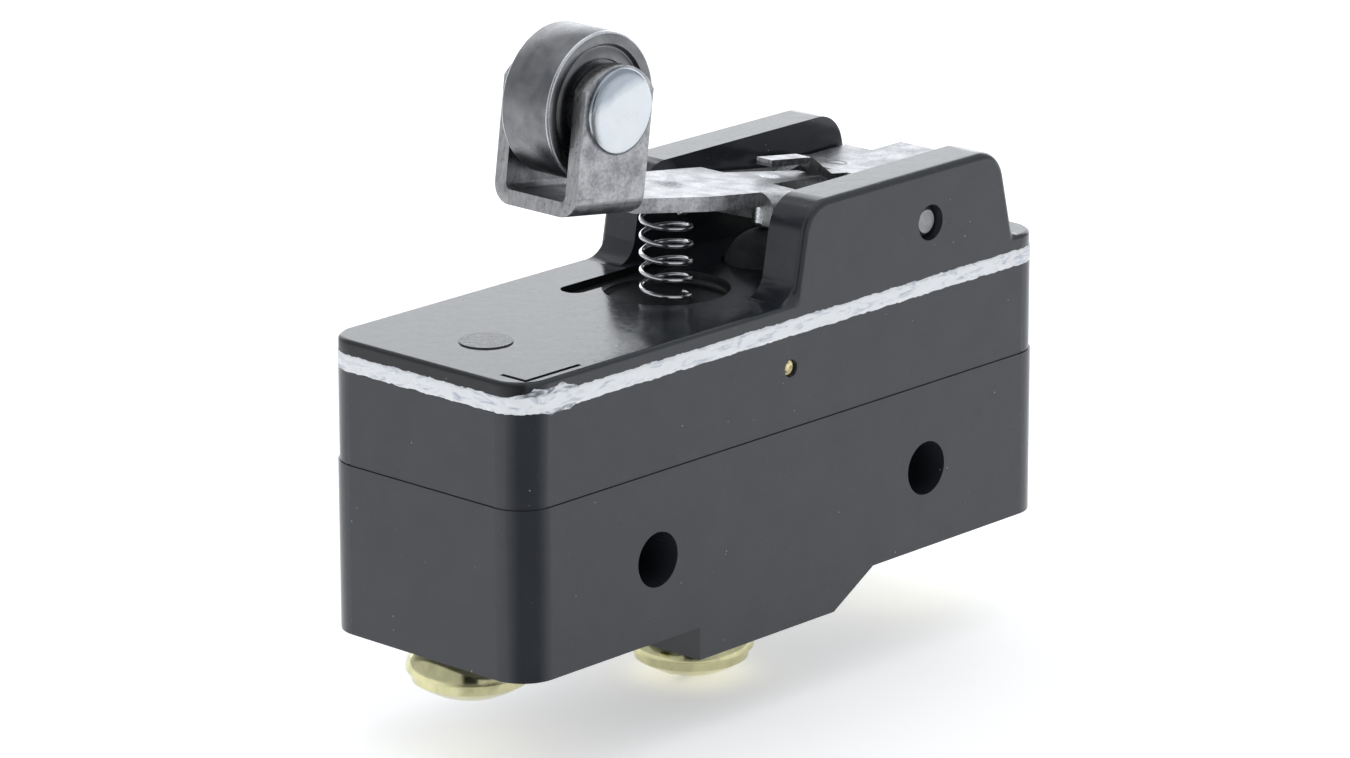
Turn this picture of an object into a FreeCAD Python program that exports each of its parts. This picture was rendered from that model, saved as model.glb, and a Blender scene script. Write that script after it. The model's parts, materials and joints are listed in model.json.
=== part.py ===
import FreeCAD, Part
import math
import os

import Sketcher

# Limit switch with a hinged roller lever, in millimetres.
# The origin is the centre of the two mounting holes: +X runs along the case towards the
# lever's pivot, +Y through the case's thickness, +Z up to the roller.
# Heights in the sheet count from the underside of the terminal base, and each sub-part's
# Placement lowers it by hole_height.

DIMENSIONS = {
    # moulded case
    "case_length": 49.2,
    "case_width": 17.45,
    "corner_radius": 2.4,
    "base_height": 11.06,
    "upper_top": 17.18,
    "upper_inset": 0.1,
    "seal_top": 18.15,
    "seal_inset": 0.18,
    "cover_top": 19.1,
    "cover_inset": 0.15,
    "case_wall": 2.4,
    "upper_wall": 2.0,
    "cavity_floor": 8.6,
    "pocket_floor": 2.2,
    "pocket_ledge": 0.5,
    "hole_wall": 1.0,
    "roof_underside": 15.6,
    "hole_half_spacing": 12.7,
    "hole_height": 5.4,
    "hole_radius": 1.78,
    "overshoot": 1.0,
    "fit_gap": 0.01,
    "running_gap": 0.05,
    # barrier block and pedestal under the base
    "block_left": 8.83,
    "block_right": 3.86,
    "block_slope_end": 7.73,
    "block_depth": 2.23,
    "block_inset": 0.08,
    "pedestal_half": 4.0,
    "pedestal_depth": 3.65,
    # cheeks that carry the pivot
    "cheek_inner": 5.57,
    "cheek_outer": 8.575,
    "cheek_foot_left": 0.06,
    "cheek_top_left": 1.33,
    "cheek_foot_right": 21.6,
    "cheek_top_right": 20.02,
    "cheek_top": 25.33,
    "cheek_round": 2.35,
    "cheek_edge_round": 0.45,
    "cheek_foot_round": 1.7,
    "cheek_heel_round": 1.0,
    "cheek_root": 0.5,
    "cover_edge_round": 0.3,
    "plug_clearance": 0.3,
    # pivot
    "pivot_along": 13.1,
    "pivot_height": 21.78,
    "pin_radius": 0.75,
    "pin_half_length": 7.68,
    "pin_head_radius": 0.96,
    "pin_head_end": 8.2,
    "pin_head_chamfer": 0.2,
    "pin_counterbore": 1.18,
    # lever arm, in its own frame about the pivot
    "lever_tilt": 8.0,
    "plate_top": 1.83,
    "sheet": 0.95,
    "yoke_left": 28.0,
    "yoke_right": 21.9,
    "yoke_half": 3.5,
    "yoke_corner": 8.87,
    "yoke_arch": 3.7,
    "yoke_arch_centre": 6.75,
    "yoke_bend": 1.3,
    "yoke_inner_bend": 0.4,
    "arm_half_yoke": 3.0,
    "arm_flare_end": 16.5,
    "arm_half": 4.1,
    "flange_front": 11.6,
    "flange_outer": 5.35,
    "flange_bend": 1.4,
    "flange_corner_drop": 0.25,
    "arm_overlap": 0.2,
    "window_start": 8.3,
    "ear_radius": 2.35,
    "ear_top": 1.2,
    "tail_half_wide": 2.1,
    "tail_half_narrow": 1.0,
    "tail_end": 2.35,
    "window_middle": 0.1,
    "dimple_along": 15.84,
    "dimple_radius": 1.2,
    "dimple_depth": 0.3,
    "boss_radius": 1.25,
    "boss_depth": 0.6,
    # tail plate behind the pivot
    "tail_sheet": 0.9,
    "tail_front": 0.6,
    "tail_lug_outer": 4.3,
    "tail_wide_start": 2.8,
    "tail_wide_half": 5.3,
    "tail_wide_end": 7.2,
    "tail_narrow_half": 3.0,
    "tail_length": 10.1,
    "tail_bend_start": 3.7,
    "tail_bend": 8.0,
    "lug_front": 1.6,
    "lug_shoulder": 0.9,
    "lug_low": 1.4,
    "lug_right": 1.6,
    "lug_blend": 0.2,
    "tongue_half": 0.65,
    "tongue_tip": 6.9,
    "tongue_rise": 1.2,
    "tongue_sheet": 0.45,
    "tongue_ramp_top": 3.0,
    "tongue_ramp_foot": 0.9,
    "tongue_ramp_skew": 0.15,
    "tongue_root": 1.1,
    "tongue_round": 0.6,
    # roller
    "roller_along": -10.52,
    "roller_height": 32.74,
    "roller_radius": 4.765,
    "roller_half": 2.0,
    "roller_hub_half": 2.38,
    "roller_hub_radius": 2.7,
    "roller_groove_radius": 3.75,
    "roller_groove_depth": 0.35,
    "roller_chamfer": 0.25,
    "rivet_radius": 1.4,
    "rivet_head_radius": 2.75,
    "rivet_head": 0.45,
    "rivet_chamfer": 0.12,
    # return spring
    "spring_along": -2.55,
    "spring_radius": 1.58,
    "spring_wire": 0.155,
    "spring_turns": 5.3,
    "spring_gap": 0.03,
    "spring_seat_radius": 4.1,
    "spring_seat_depth": 0.8,
    "groove_left": 7.6,
    "groove_right": 3.0,
    "groove_near": 3.1,
    "groove_far": 4.95,
    "groove_depth": 0.5,
    "groove_round": 0.85,
    "seat_round": 0.35,
    # moulding marks on the cover
    "mark_along": 18.8,
    "mark_radius": 1.7,
    "mark_height": 0.08,
    "corner_mark_left": 23.4,
    "corner_mark_right": 18.5,
    "corner_mark_near": 7.9,
    "corner_mark_far": 5.65,
    "corner_mark_width": 0.35,
    "corner_mark_depth": 0.12,
    # plunger and its boot
    "plunger_along": 6.76,
    "boot_centre": 18.42,
    "boot_radius": 2.7,
    "boot_wall": 0.5,
    "boot_flange_radius": 3.9,
    "boot_flange_low": 17.25,
    "boot_flange_high": 17.9,
    "boot_gap": 0.12,
    "plunger_radius": 1.6,
    "plunger_low": 14.9,
    "plunger_head_low": 18.5,
    "plunger_head_radius": 1.85,
    "plunger_top": 20.3,
    "plunger_bore": 1.1,
    "plunger_bore_top": 18.7,
    "plunger_bevel": 1.0,
    "plunger_face": 1.0,
    "pin_top": 16.2,
    "pin_low": 13.37,
    "inner_pin_radius": 1.03,
    "inner_pin_bevel": 0.3,
    "overtravel_radius": 0.82,
    "overtravel_wire": 0.12,
    "overtravel_turns": 5.0,
    "stud_radius": 0.9,
    "stud_along": 6.2,
    "stud_reach": 1.45,
    "stud_neck": 0.7,
    "stud_bevel": 0.3,
    # terminals and their screws
    "terminal_along": 20.48,
    "middle_along": 0.314,
    "terminal_half": 2.25,
    "terminal_sheet": 0.8,
    "terminal_strip_half": 1.4,
    "upright_near": 17.75,
    "common_near": 1.7,
    "closed_arm_inner": 3.8,
    "closed_arm_outer": 5.6,
    "screw_head_radius": 3.73,
    "screw_head": 1.51,
    "screw_flat_radius": 2.88,
    "screw_cone": 0.97,
    "screw_crown": 2.8,
    "screw_shank_radius": 1.45,
    "screw_point": 0.3,
    "screw_shank": 2.3,
    "screw_bore": 1.5,
    "screw_bore_end": 1.6,
    "screw_slot_half": 0.4,
    "screw_slot_depth": 0.75,
    "washer_hole": 1.55,
    "washer_flat_radius": 2.9,
    "washer_radius": 4.1,
    "washer_rim": 0.8,
    "washer_lip": 0.95,
    "washer_lip_radius": 3.78,
    "washer_skirt": 0.72,
    "washer_skirt_radius": 3.35,
    "washer_bore": 3.25,
    "washer_sheet": 0.4,
    # snap mechanism
    "blade_height": 13.2,
    "blade_sheet": 0.25,
    "blade_half": 2.6,
    "blade_pivot": 15.5,
    "blade_corner": 0.8,
    "blade_setback": 0.3,
    "blade_tab": 0.6,
    "blade_tab_half": 1.4,
    "blade_window_left": 12.0,
    "blade_window_right": 4.2,
    "blade_window_half": 1.3,
    "blade_bead": 0.3,
    "toggle_left": 11.9,
    "toggle_right": 3.0,
    "toggle_drop": 1.0,
    "toggle_bow": 1.2,
    "toggle_half": 0.9,
    "toggle_sheet": 0.15,
    "contact_along": 17.0,
    "contact_radius": 1.5,
    "contact_low": 12.4,
    "contact_high": 13.93,
    "strip": 0.7,
    "lower_contact_top": 11.4,
    "upper_contact_low": 13.95,
    "contact_thickness": 0.55,
    "contact_bevel": 0.3,
    "contact_rim": 0.2,
    "contact_stem": 0.8,
    "anchor_half": 3.0,
    "anchor_top": 15.0,
    "anchor_slot_half": 1.6,
    "anchor_slot": 0.35,
    "post_along": 3.2,
    "post_half": 0.9,
    "post_drop": 0.7,
    "eyelet_along": -0.31,
    "eyelet_height": 15.0,
    "eyelet_radius": 0.57,
    "eyelet_bore": 0.34,
    "eyelet_length": 1.6,
    "eyelet_recess": 0.25,
}

doc = FreeCAD.newDocument("LimitSwitch")
sheet = doc.addObject("Spreadsheet::Sheet", "Dimensions")
for row, (alias, value) in enumerate(DIMENSIONS.items(), start=1):
    sheet.set(f"A{row}", alias)
    sheet.set(f"B{row}", str(value))
    sheet.setAlias(f"B{row}", alias)
doc.recompute()

SUB_PARTS = []
TOUCH = 0.01
CURVE_STEPS = 6


def size(alias):
    """The driving dimension's value, read back from the sheet."""
    return float(sheet.get(alias))


def link(text):
    """Turn words such as 'case_length / 2' into an expression on the sheet's cells."""
    words = text.replace("(", " ( ").replace(")", " ) ").split()
    linked = " ".join(f"Dimensions.{word}" if word in DIMENSIONS else word for word in words)
    for function in ("sin", "cos", "tan"):
        linked = linked.replace(f"{function} (", f"{function}(")
    return linked


def placement(along="0", across="0", height="0 - hole_height", axis=(0, 0, 1), angle=0.0):
    """A resting place, given as a position expression and a fixed turn about an axis."""
    return (along, across, height), FreeCAD.Rotation(FreeCAD.Vector(*axis), angle)


AT_REST = placement()


def place(thing, spot):
    """Give a sub-part its Placement, with the position bound to the sheet."""
    position, rotation = spot
    thing.Placement = FreeCAD.Placement(FreeCAD.Vector(), rotation)
    for letter, text in zip("xyz", position):
        thing.setExpression(f"Placement.Base.{letter}", link(text))


def keep(thing, label, spot):
    """List a finished object as a sub-part that is written to its own file."""
    thing.Label = label
    place(thing, spot)
    SUB_PARTS.append(thing)
    return thing


def new_body(label, spot=AT_REST):
    """Start a PartDesign body that is one sub-part."""
    body = doc.addObject("PartDesign::Body", label)
    return keep(body, label, spot)


def sketch_on(body, role, offset="0"):
    """A sketch on one of the body's own origin planes, moved along the plane's normal."""
    sketch = body.newObject("Sketcher::SketchObject", f"{body.Name}_sketch")
    plane = next(item for item in body.Origin.OriginFeatures if item.Role == role)
    sketch.AttachmentSupport = [(plane, "")]
    sketch.MapMode = "FlatFace"
    sketch.setExpression("AttachmentOffset.Base.z", link(offset))
    return sketch


def fix_point(sketch, geometry, end, spot, start):
    """Tie a point of the sketch to its two coordinate expressions."""
    for kind, text, value in zip(("DistanceX", "DistanceY"), spot, (start.x, start.y)):
        index = sketch.addConstraint(Sketcher.Constraint(kind, -1, 1, geometry, end, value))
        sketch.setExpression(f"Constraints[{index}]", link(text))


def draw_outline(sketch, corners):
    """A closed outline of straight lines through corners given as pairs of expressions."""
    count = len(corners)
    turn = 2 * math.pi / count
    points = [FreeCAD.Vector(math.cos(turn * i), math.sin(turn * i), 0) for i in range(count)]
    first = sketch.GeometryCount
    for i in range(count):
        sketch.addGeometry(Part.LineSegment(points[i], points[(i + 1) % count]), False)
    for i in range(count):
        following = first + (i + 1) % count
        sketch.addConstraint(Sketcher.Constraint("Coincident", first + i, 2, following, 1))
    for i, corner in enumerate(corners):
        fix_point(sketch, first + i, 1, corner, points[i])


def draw_circle(sketch, centre, radius):
    """A circle whose centre and radius are expressions."""
    start = FreeCAD.Vector(0, 0, 0)
    circle = sketch.addGeometry(Part.Circle(start, FreeCAD.Vector(0, 0, 1), 1.0), False)
    fix_point(sketch, circle, 3, centre, start)
    index = sketch.addConstraint(Sketcher.Constraint("Radius", circle, 1.0))
    sketch.setExpression(f"Constraints[{index}]", link(radius))


def rectangle(low_x, high_x, low_y, high_y):
    """The four corners of a rectangle between two pairs of expressions."""
    return [(low_x, low_y), (high_x, low_y), (high_x, high_y), (low_x, high_y)]


def pad(body, sketch, length, symmetric=False, reverse=False):
    """Add material on the sketch."""
    feature = body.newObject("PartDesign::Pad", f"{body.Name}_pad")
    feature.Profile = sketch
    feature.setExpression("Length", link(length))
    feature.SideType = "Symmetric" if symmetric else "One side"
    feature.Reversed = reverse
    doc.recompute()
    return feature


def pocket(body, sketch, length="", symmetric=False, reverse=False):
    """Remove material on the sketch; an empty length goes through everything both ways."""
    before = body.Shape.Volume
    feature = body.newObject("PartDesign::Pocket", f"{body.Name}_pocket")
    feature.Profile = sketch
    feature.SideType = "Symmetric" if symmetric or not length else "One side"
    feature.Reversed = reverse
    if length:
        feature.setExpression("Length", link(length))
    else:
        feature.Type = "ThroughAll"
    doc.recompute()
    if not body.Shape.Volume < before - TOUCH * TOUCH:
        raise RuntimeError(f"{feature.Name} removed nothing")
    return feature


def round_edges(body, radius, wanted):
    """Round the edges of the body's last feature whose centre point passes the test."""
    base = body.Tip
    names = [f"Edge{i}" for i, edge in enumerate(base.Shape.Edges, 1) if wanted(edge)]
    if not names:
        raise RuntimeError(f"{body.Label} has no edge to round")
    feature = body.newObject("PartDesign::Fillet", f"{body.Name}_round")
    feature.Base = (base, names)
    feature.setExpression("Radius", link(radius))
    doc.recompute()
    return feature


def runs_along(edge, axis):
    """Whether an edge is a straight line parallel to an axis number."""
    try:
        curve = edge.Curve
    except TypeError:
        return False
    if not isinstance(curve, Part.Line):
        return False
    direction = curve.Direction
    return abs((direction.x, direction.y, direction.z)[axis]) > 0.99


def turned(label, outlines, spot):
    """A body turned about its own Z axis from outlines of (radius, height) expressions."""
    body = new_body(label, spot)
    sketch = sketch_on(body, "XZ_Plane")
    for corners in outlines:
        draw_outline(sketch, corners)
    feature = body.newObject("PartDesign::Revolution", f"{label}_turn")
    feature.Profile = sketch
    feature.ReferenceAxis = (sketch, ["V_Axis"])
    feature.Angle = 360.0
    doc.recompute()
    return body


def slab(body, half_length, half_width, low, high, corner=""):
    """A block centred on the origin, with its upright corners rounded."""
    sketch = sketch_on(body, "XY_Plane", low)
    draw_outline(sketch, rectangle(
        f"0 - ( {half_length} )", half_length, f"0 - ( {half_width} )", half_width))
    pad(body, sketch, f"{high} - {low}")
    if corner:
        round_edges(body, corner, lambda edge: runs_along(edge, 2))


def terminal_base():
    """Lower half of the case: mounting holes, barrier block, pedestal and inner pockets."""
    body = new_body("terminal_base")
    slab(body, "case_length / 2", "case_width / 2", "0", "base_height", "corner_radius")

    block = sketch_on(body, "XZ_Plane")
    draw_outline(block, [
        ("0 - block_left", "0 - block_depth"),
        ("block_right", "0 - block_depth"),
        ("block_slope_end", "0"),
        ("block_slope_end", "overshoot"),
        ("0 - block_left", "overshoot"),
    ])
    pad(body, block, "case_width - 2 * block_inset", symmetric=True)
    pedestal = sketch_on(body, "XY_Plane", "0 - pedestal_depth")
    draw_outline(pedestal, rectangle(
        "0 - middle_along - pedestal_half", "0 - middle_along + pedestal_half",
        "0 - pedestal_half", "pedestal_half"))
    pad(body, pedestal, "pedestal_depth")

    cavity = sketch_on(body, "XY_Plane", "base_height")
    draw_outline(cavity, rectangle(
        "0 - case_length / 2 + case_wall", "case_length / 2 - case_wall",
        "0 - case_width / 2 + case_wall", "case_width / 2 - case_wall"))
    pocket(body, cavity, "base_height - cavity_floor")
    deep = sketch_on(body, "XY_Plane", "cavity_floor")
    inner = "hole_half_spacing + hole_radius + hole_wall"
    outer = "case_length / 2 - case_wall - pocket_ledge"
    half = "case_width / 2 - case_wall - pocket_ledge"
    draw_outline(deep, rectangle(
        f"0 - ( {outer} )", f"0 - ( {inner} )", f"0 - ( {half} )", half))
    draw_outline(deep, rectangle(inner, outer, f"0 - ( {half} )", half))
    centre = "hole_half_spacing - hole_radius - hole_wall"
    draw_outline(deep, rectangle(f"0 - ( {centre} )", centre, f"0 - ( {half} )", half))
    pocket(body, deep, "cavity_floor - pocket_floor")

    slots = sketch_on(body, "XY_Plane", "pocket_floor")
    near, far = "upright_near - running_gap", "upright_near + terminal_sheet + running_gap"
    slot_half = "terminal_strip_half + running_gap"
    slot_low = f"0 - ( {slot_half} )"
    draw_outline(slots, rectangle(f"0 - ( {far} )", f"0 - ( {near} )", slot_low, slot_half))
    draw_outline(slots, rectangle(near, far, slot_low, slot_half))
    left, right = common_upright(gap=True)
    draw_outline(slots, rectangle(left, right, slot_low, slot_half))
    pocket(body, slots, "pocket_floor + pedestal_depth + overshoot")
    for name, along, seat, turn in screw_seats():
        bore = sketch_on(body, "XY_Plane", f"{seat} - overshoot")
        draw_circle(bore, (along, "0"), "screw_bore + running_gap")
        pocket(body, bore, "overshoot + screw_bore_end", reverse=True)

    holes = sketch_on(body, "XZ_Plane")
    for along in ("0 - hole_half_spacing", "hole_half_spacing"):
        draw_circle(holes, (along, "hole_height"), "hole_radius")
    pocket(body, holes)


def common_upright(gap=False):
    """The two faces of the common terminal's upright, or of its slot in the base."""
    slack = " + running_gap" if gap else ""
    return f"common_near - ( 0{slack} )", f"common_near + terminal_sheet{slack}"


def upper_case():
    """Upper half of the case, open below, with the plunger's guide in its roof."""
    body = new_body("upper_case")
    slab(body, "case_length / 2 - upper_inset", "case_width / 2 - upper_inset",
         "base_height", "upper_top", "corner_radius - upper_inset")
    cavity = sketch_on(body, "XY_Plane", "base_height")
    draw_outline(cavity, rectangle(
        "0 - case_length / 2 + upper_wall", "case_length / 2 - upper_wall",
        "0 - case_width / 2 + upper_wall", "case_width / 2 - upper_wall"))
    pocket(body, cavity, "roof_underside - base_height", reverse=True)
    guide = sketch_on(body, "XY_Plane", "roof_underside")
    draw_circle(guide, ("plunger_along", "0"), "plunger_radius + running_gap")
    pocket(body, guide)
    eyelets = sketch_on(body, "XZ_Plane")
    draw_circle(eyelets, ("eyelet_along", "eyelet_height"), "eyelet_radius")
    pocket(body, eyelets)


def sealing_compound():
    """Band of white potting compound between the upper case and the cover."""
    body = new_body("sealing_compound")
    slab(body, "case_length / 2 - seal_inset", "case_width / 2 - seal_inset",
         "upper_top", "seal_top", "corner_radius - seal_inset")
    middle = sketch_on(body, "XY_Plane", "upper_top")
    draw_outline(middle, rectangle(
        "0 - case_length / 2 + case_wall", "case_length / 2 - case_wall",
        "0 - case_width / 2 + case_wall", "case_width / 2 - case_wall"))
    pocket(body, middle)


def lever_cover():
    """Cover plate with the two cheeks, the spring seat and the boot's opening."""
    body = new_body("lever_cover")
    slab(body, "case_length / 2 - cover_inset", "case_width / 2 - cover_inset",
         "seal_top", "cover_top", "corner_radius - cover_inset")
    rim_height = size("cover_top")
    round_edges(body, "cover_edge_round",
                lambda edge: edge.CenterOfMass.z > rim_height - TOUCH)
    plug = sketch_on(body, "XY_Plane", "upper_top")
    draw_outline(plug, rectangle(
        "0 - case_length / 2 + case_wall", "case_length / 2 - case_wall",
        "0 - case_width / 2 + case_wall", "case_width / 2 - case_wall"))
    pad(body, plug, "cover_top - upper_top - plug_clearance")

    cheeks = sketch_on(body, "XZ_Plane")
    draw_outline(cheeks, [
        ("cheek_foot_left", "cover_top - cheek_root"),
        ("cheek_foot_right", "cover_top - cheek_root"),
        ("cheek_top_right", "cheek_top"),
        ("cheek_top_left", "cheek_top"),
    ])
    pad(body, cheeks, "2 * cheek_outer", symmetric=True)
    top = size("cheek_top")
    round_edges(body, "cheek_round",
                lambda edge: runs_along(edge, 1) and edge.CenterOfMass.z > top - TOUCH)
    between = sketch_on(body, "XZ_Plane")
    draw_outline(between, rectangle(
        "0 - overshoot", "cheek_foot_right + overshoot", "cover_top", "cheek_top + overshoot"))
    pocket(body, between, "2 * cheek_inner", symmetric=True)
    outer, inner = size("cheek_outer"), size("cheek_inner")
    foot = size("cover_top")
    round_edges(body, "cheek_edge_round", lambda edge: (
        abs(abs(edge.CenterOfMass.y) - outer) < TOUCH
        and edge.CenterOfMass.z > foot + size("overshoot")))
    middle = (size("cheek_foot_left") + size("cheek_foot_right")) / 2
    for radius, side in (("cheek_foot_round", -1), ("cheek_heel_round", 1)):
        round_edges(body, radius, lambda edge: (
            runs_along(edge, 1) and abs(edge.CenterOfMass.z - foot) < TOUCH
            and abs(edge.CenterOfMass.y) > inner
            and side * (edge.CenterOfMass.x - middle) > 0))

    seat = sketch_on(body, "XY_Plane", "cover_top")
    draw_circle(seat, ("spring_along", "0"), "spring_seat_radius")
    pocket(body, seat, "spring_seat_depth")
    seat_floor = size("cover_top") - size("spring_seat_depth")
    round_edges(body, "seat_round", lambda edge: (
        abs(edge.CenterOfMass.z - seat_floor) < TOUCH
        and abs(edge.Length - 2 * math.pi * size("spring_seat_radius")) < TOUCH))
    groove = sketch_on(body, "XY_Plane", "cover_top")
    draw_outline(groove, rectangle("0 - groove_left", "groove_right", "groove_near", "groove_far"))
    pocket(body, groove, "groove_depth")
    round_edges(body, "groove_round", lambda edge: (
        runs_along(edge, 2) and abs(edge.CenterOfMass.x + size("groove_left")) < TOUCH))
    moulding_marks(body)
    opening = sketch_on(body, "XY_Plane", "cover_top")
    draw_circle(opening, ("plunger_along", "0"), "boot_radius + boot_gap")
    pocket(body, opening)
    flange = sketch_on(body, "XY_Plane", "upper_top")
    draw_circle(flange, ("plunger_along", "0"), "boot_flange_radius + running_gap")
    pocket(body, flange, "boot_flange_high - upper_top + fit_gap", reverse=True)

    pin_hole = sketch_on(body, "XZ_Plane")
    draw_circle(pin_hole, ("pivot_along", "pivot_height"), "pin_radius + fit_gap")
    pocket(body, pin_hole)
    for reverse in (False, True):
        side = "0 - cheek_outer" if reverse else "cheek_outer"
        mouth = sketch_on(body, "XZ_Plane", side)
        draw_circle(mouth, ("pivot_along", "pivot_height"), "pin_counterbore")
        pocket(body, mouth, "cheek_outer - pin_half_length", reverse=reverse)


def moulding_marks(body):
    """Raised ejector disc and a shallow corner line on the cover's free end."""
    disc = sketch_on(body, "XY_Plane", "cover_top - mark_height")
    draw_circle(disc, ("0 - mark_along", "0"), "mark_radius")
    pad(body, disc, "2 * mark_height")
    line = sketch_on(body, "XY_Plane", "cover_top")
    draw_outline(line, [
        ("0 - corner_mark_left", "0 - corner_mark_near"),
        ("0 - corner_mark_right", "0 - corner_mark_near"),
        ("0 - corner_mark_right", "0 - corner_mark_near + corner_mark_width"),
        ("0 - corner_mark_left + corner_mark_width", "0 - corner_mark_near + corner_mark_width"),
        ("0 - corner_mark_left + corner_mark_width", "0 - corner_mark_far"),
        ("0 - corner_mark_left", "0 - corner_mark_far"),
    ])
    pocket(body, line, "corner_mark_depth")


def pivot_pin():
    """Pin through both cheeks, swaged at its ends."""
    turned("pivot_pin", [[
        ("0", "0 - pin_head_end"),
        ("pin_head_radius - pin_head_chamfer", "0 - pin_head_end"),
        ("pin_head_radius", "0 - pin_head_end + pin_head_chamfer"),
        ("pin_head_radius", "0 - pin_half_length"),
        ("pin_radius", "0 - pin_half_length"),
        ("pin_radius", "pin_half_length"),
        ("pin_head_radius", "pin_half_length"),
        ("pin_head_radius", "pin_head_end - pin_head_chamfer"),
        ("pin_head_radius - pin_head_chamfer", "pin_head_end"),
        ("0", "pin_head_end"),
    ]], placement("pivot_along", "0", "pivot_height - hole_height", (1, 0, 0), 90.0))


def lever_spot():
    """The lever's frame: origin on the pivot, X down the arm, tilted with the arm."""
    return placement("pivot_along", "0", "pivot_height - hole_height",
                     (0, 1, 0), size("lever_tilt"))


def lever_arm():
    """Stamped arm: roller yoke, flared strip, spring dimple and two pivot flanges."""
    body = new_body("lever_arm", lever_spot())
    under = "( plate_top - sheet )"

    ears = sketch_on(body, "XZ_Plane")
    draw_circle(ears, ("0 - ( yoke_left + yoke_right ) / 2", "yoke_arch_centre"), "yoke_arch")
    pad(body, ears, "2 * yoke_half", symmetric=True)
    beside = sketch_on(body, "XZ_Plane")
    low, high = "yoke_arch_centre - yoke_arch - overshoot", "yoke_arch_centre + yoke_arch + overshoot"
    draw_outline(beside, rectangle(
        "0 - yoke_left - yoke_arch", "0 - yoke_left", low, high))
    draw_outline(beside, rectangle(
        "0 - yoke_right", "0 - yoke_right + yoke_arch", low, high))
    pocket(body, beside)
    yoke = sketch_on(body, "XZ_Plane")
    draw_outline(yoke, rectangle("0 - yoke_left", "0 - yoke_right", under, "yoke_corner"))
    pad(body, yoke, "2 * yoke_half", symmetric=True)
    yoke_bottom = size("plate_top") - size("sheet")
    round_edges(body, "yoke_bend", lambda edge: (
        runs_along(edge, 0) and abs(edge.CenterOfMass.z - yoke_bottom) < TOUCH))
    gap = sketch_on(body, "XZ_Plane")
    draw_outline(gap, rectangle(
        "0 - yoke_left - overshoot", "0 - yoke_right + overshoot", "plate_top", high))
    pocket(body, gap, "2 * ( yoke_half - sheet )", symmetric=True)
    top = size("plate_top")
    round_edges(body, "yoke_inner_bend", lambda edge: (
        runs_along(edge, 0) and abs(edge.CenterOfMass.z - top) < TOUCH))

    shoulder = sketch_on(body, "XZ_Plane")
    draw_outline(shoulder, rectangle(
        "0 - flange_front", "ear_radius", "0 - ear_radius", "plate_top"))
    pad(body, shoulder, "2 * flange_outer", symmetric=True)
    round_edges(body, "flange_bend", lambda edge: (
        runs_along(edge, 0) and abs(edge.CenterOfMass.z - top) < TOUCH
        and abs(edge.CenterOfMass.y) > size("flange_outer") - TOUCH))
    hollow = sketch_on(body, "XZ_Plane")
    draw_outline(hollow, rectangle(
        "0 - flange_front - overshoot", "ear_radius + overshoot",
        "0 - ear_radius - overshoot", under))
    pocket(body, hollow, "2 * ( flange_outer - sheet )", symmetric=True)
    round_edges(body, "flange_bend - sheet", lambda edge: (
        runs_along(edge, 0) and abs(edge.CenterOfMass.z - yoke_bottom) < TOUCH
        and abs(abs(edge.CenterOfMass.y) - size("flange_outer") + size("sheet")) < TOUCH))

    window = sketch_on(body, "XY_Plane", "plate_top + overshoot")
    draw_outline(window, [
        ("0 - window_start", "tail_half_wide"),
        ("0 - tail_end", "tail_half_narrow"),
        ("0 - tail_end", "0 - tail_half_narrow"),
        ("0 - window_start", "0 - tail_half_wide"),
        ("0 - window_start", "0 - flange_outer - overshoot"),
        ("ear_radius + overshoot", "0 - flange_outer - overshoot"),
        ("ear_radius + overshoot", "flange_outer + overshoot"),
        ("0 - window_start", "flange_outer + overshoot"),
    ])
    pocket(body, window, "overshoot + plate_top - ear_top")
    inner_window = sketch_on(body, "XY_Plane", "plate_top")
    for sign in ("", "0 - "):
        draw_outline(inner_window, [
            ("0 - window_start", f"{sign}tail_half_wide"),
            ("0 - tail_end", f"{sign}tail_half_narrow"),
            ("0 - tail_end", f"{sign}window_middle"),
            ("ear_radius + overshoot", f"{sign}window_middle"),
            ("ear_radius + overshoot", f"{sign}( flange_outer - sheet )"),
            ("0 - window_start", f"{sign}( flange_outer - sheet )"),
        ])
    pocket(body, inner_window, "plate_top + ear_radius + overshoot")
    slit = sketch_on(body, "XY_Plane", "plate_top")
    draw_outline(slit, rectangle(
        "0 - tail_end", "ear_radius + overshoot", "0 - 2 * window_middle", "2 * window_middle"))
    pocket(body, slit, "plate_top + ear_radius + overshoot")

    # The flange's lower edge runs down to the ear as a tangent of the ear's round.
    drop = size("flange_corner_drop")
    reach = math.hypot(size("flange_front"), drop)
    tangent = math.asin(size("ear_radius") / reach) - math.atan2(drop, size("flange_front"))
    foot_x = -size("ear_radius") * math.sin(tangent)
    foot_z = -size("ear_radius") * math.cos(tangent)
    below = sketch_on(body, "XZ_Plane")
    draw_outline(below, [
        ("0 - flange_front - overshoot", "0 - flange_corner_drop"),
        ("0 - flange_front", "0 - flange_corner_drop"),
        (str(foot_x), str(foot_z)),
        (str(foot_x), "0 - ear_radius - overshoot"),
        ("0 - flange_front - overshoot", "0 - ear_radius - overshoot"),
    ])
    pocket(body, below)
    ear = size("ear_radius")
    round_edges(body, "ear_radius - running_gap", lambda edge: (
        runs_along(edge, 1) and edge.CenterOfMass.x > ear - TOUCH
        and edge.CenterOfMass.z < TOUCH - ear))

    strip = sketch_on(body, "XY_Plane", "plate_top - sheet")
    draw_outline(strip, [
        ("0 - yoke_right - arm_overlap", "0 - arm_half_yoke"),
        ("0 - arm_flare_end", "0 - arm_half"),
        ("0 - flange_front + arm_overlap", "0 - arm_half"),
        ("0 - flange_front + arm_overlap", "arm_half"),
        ("0 - arm_flare_end", "arm_half"),
        ("0 - yoke_right - arm_overlap", "arm_half_yoke"),
    ])
    pad(body, strip, "sheet")

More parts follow.
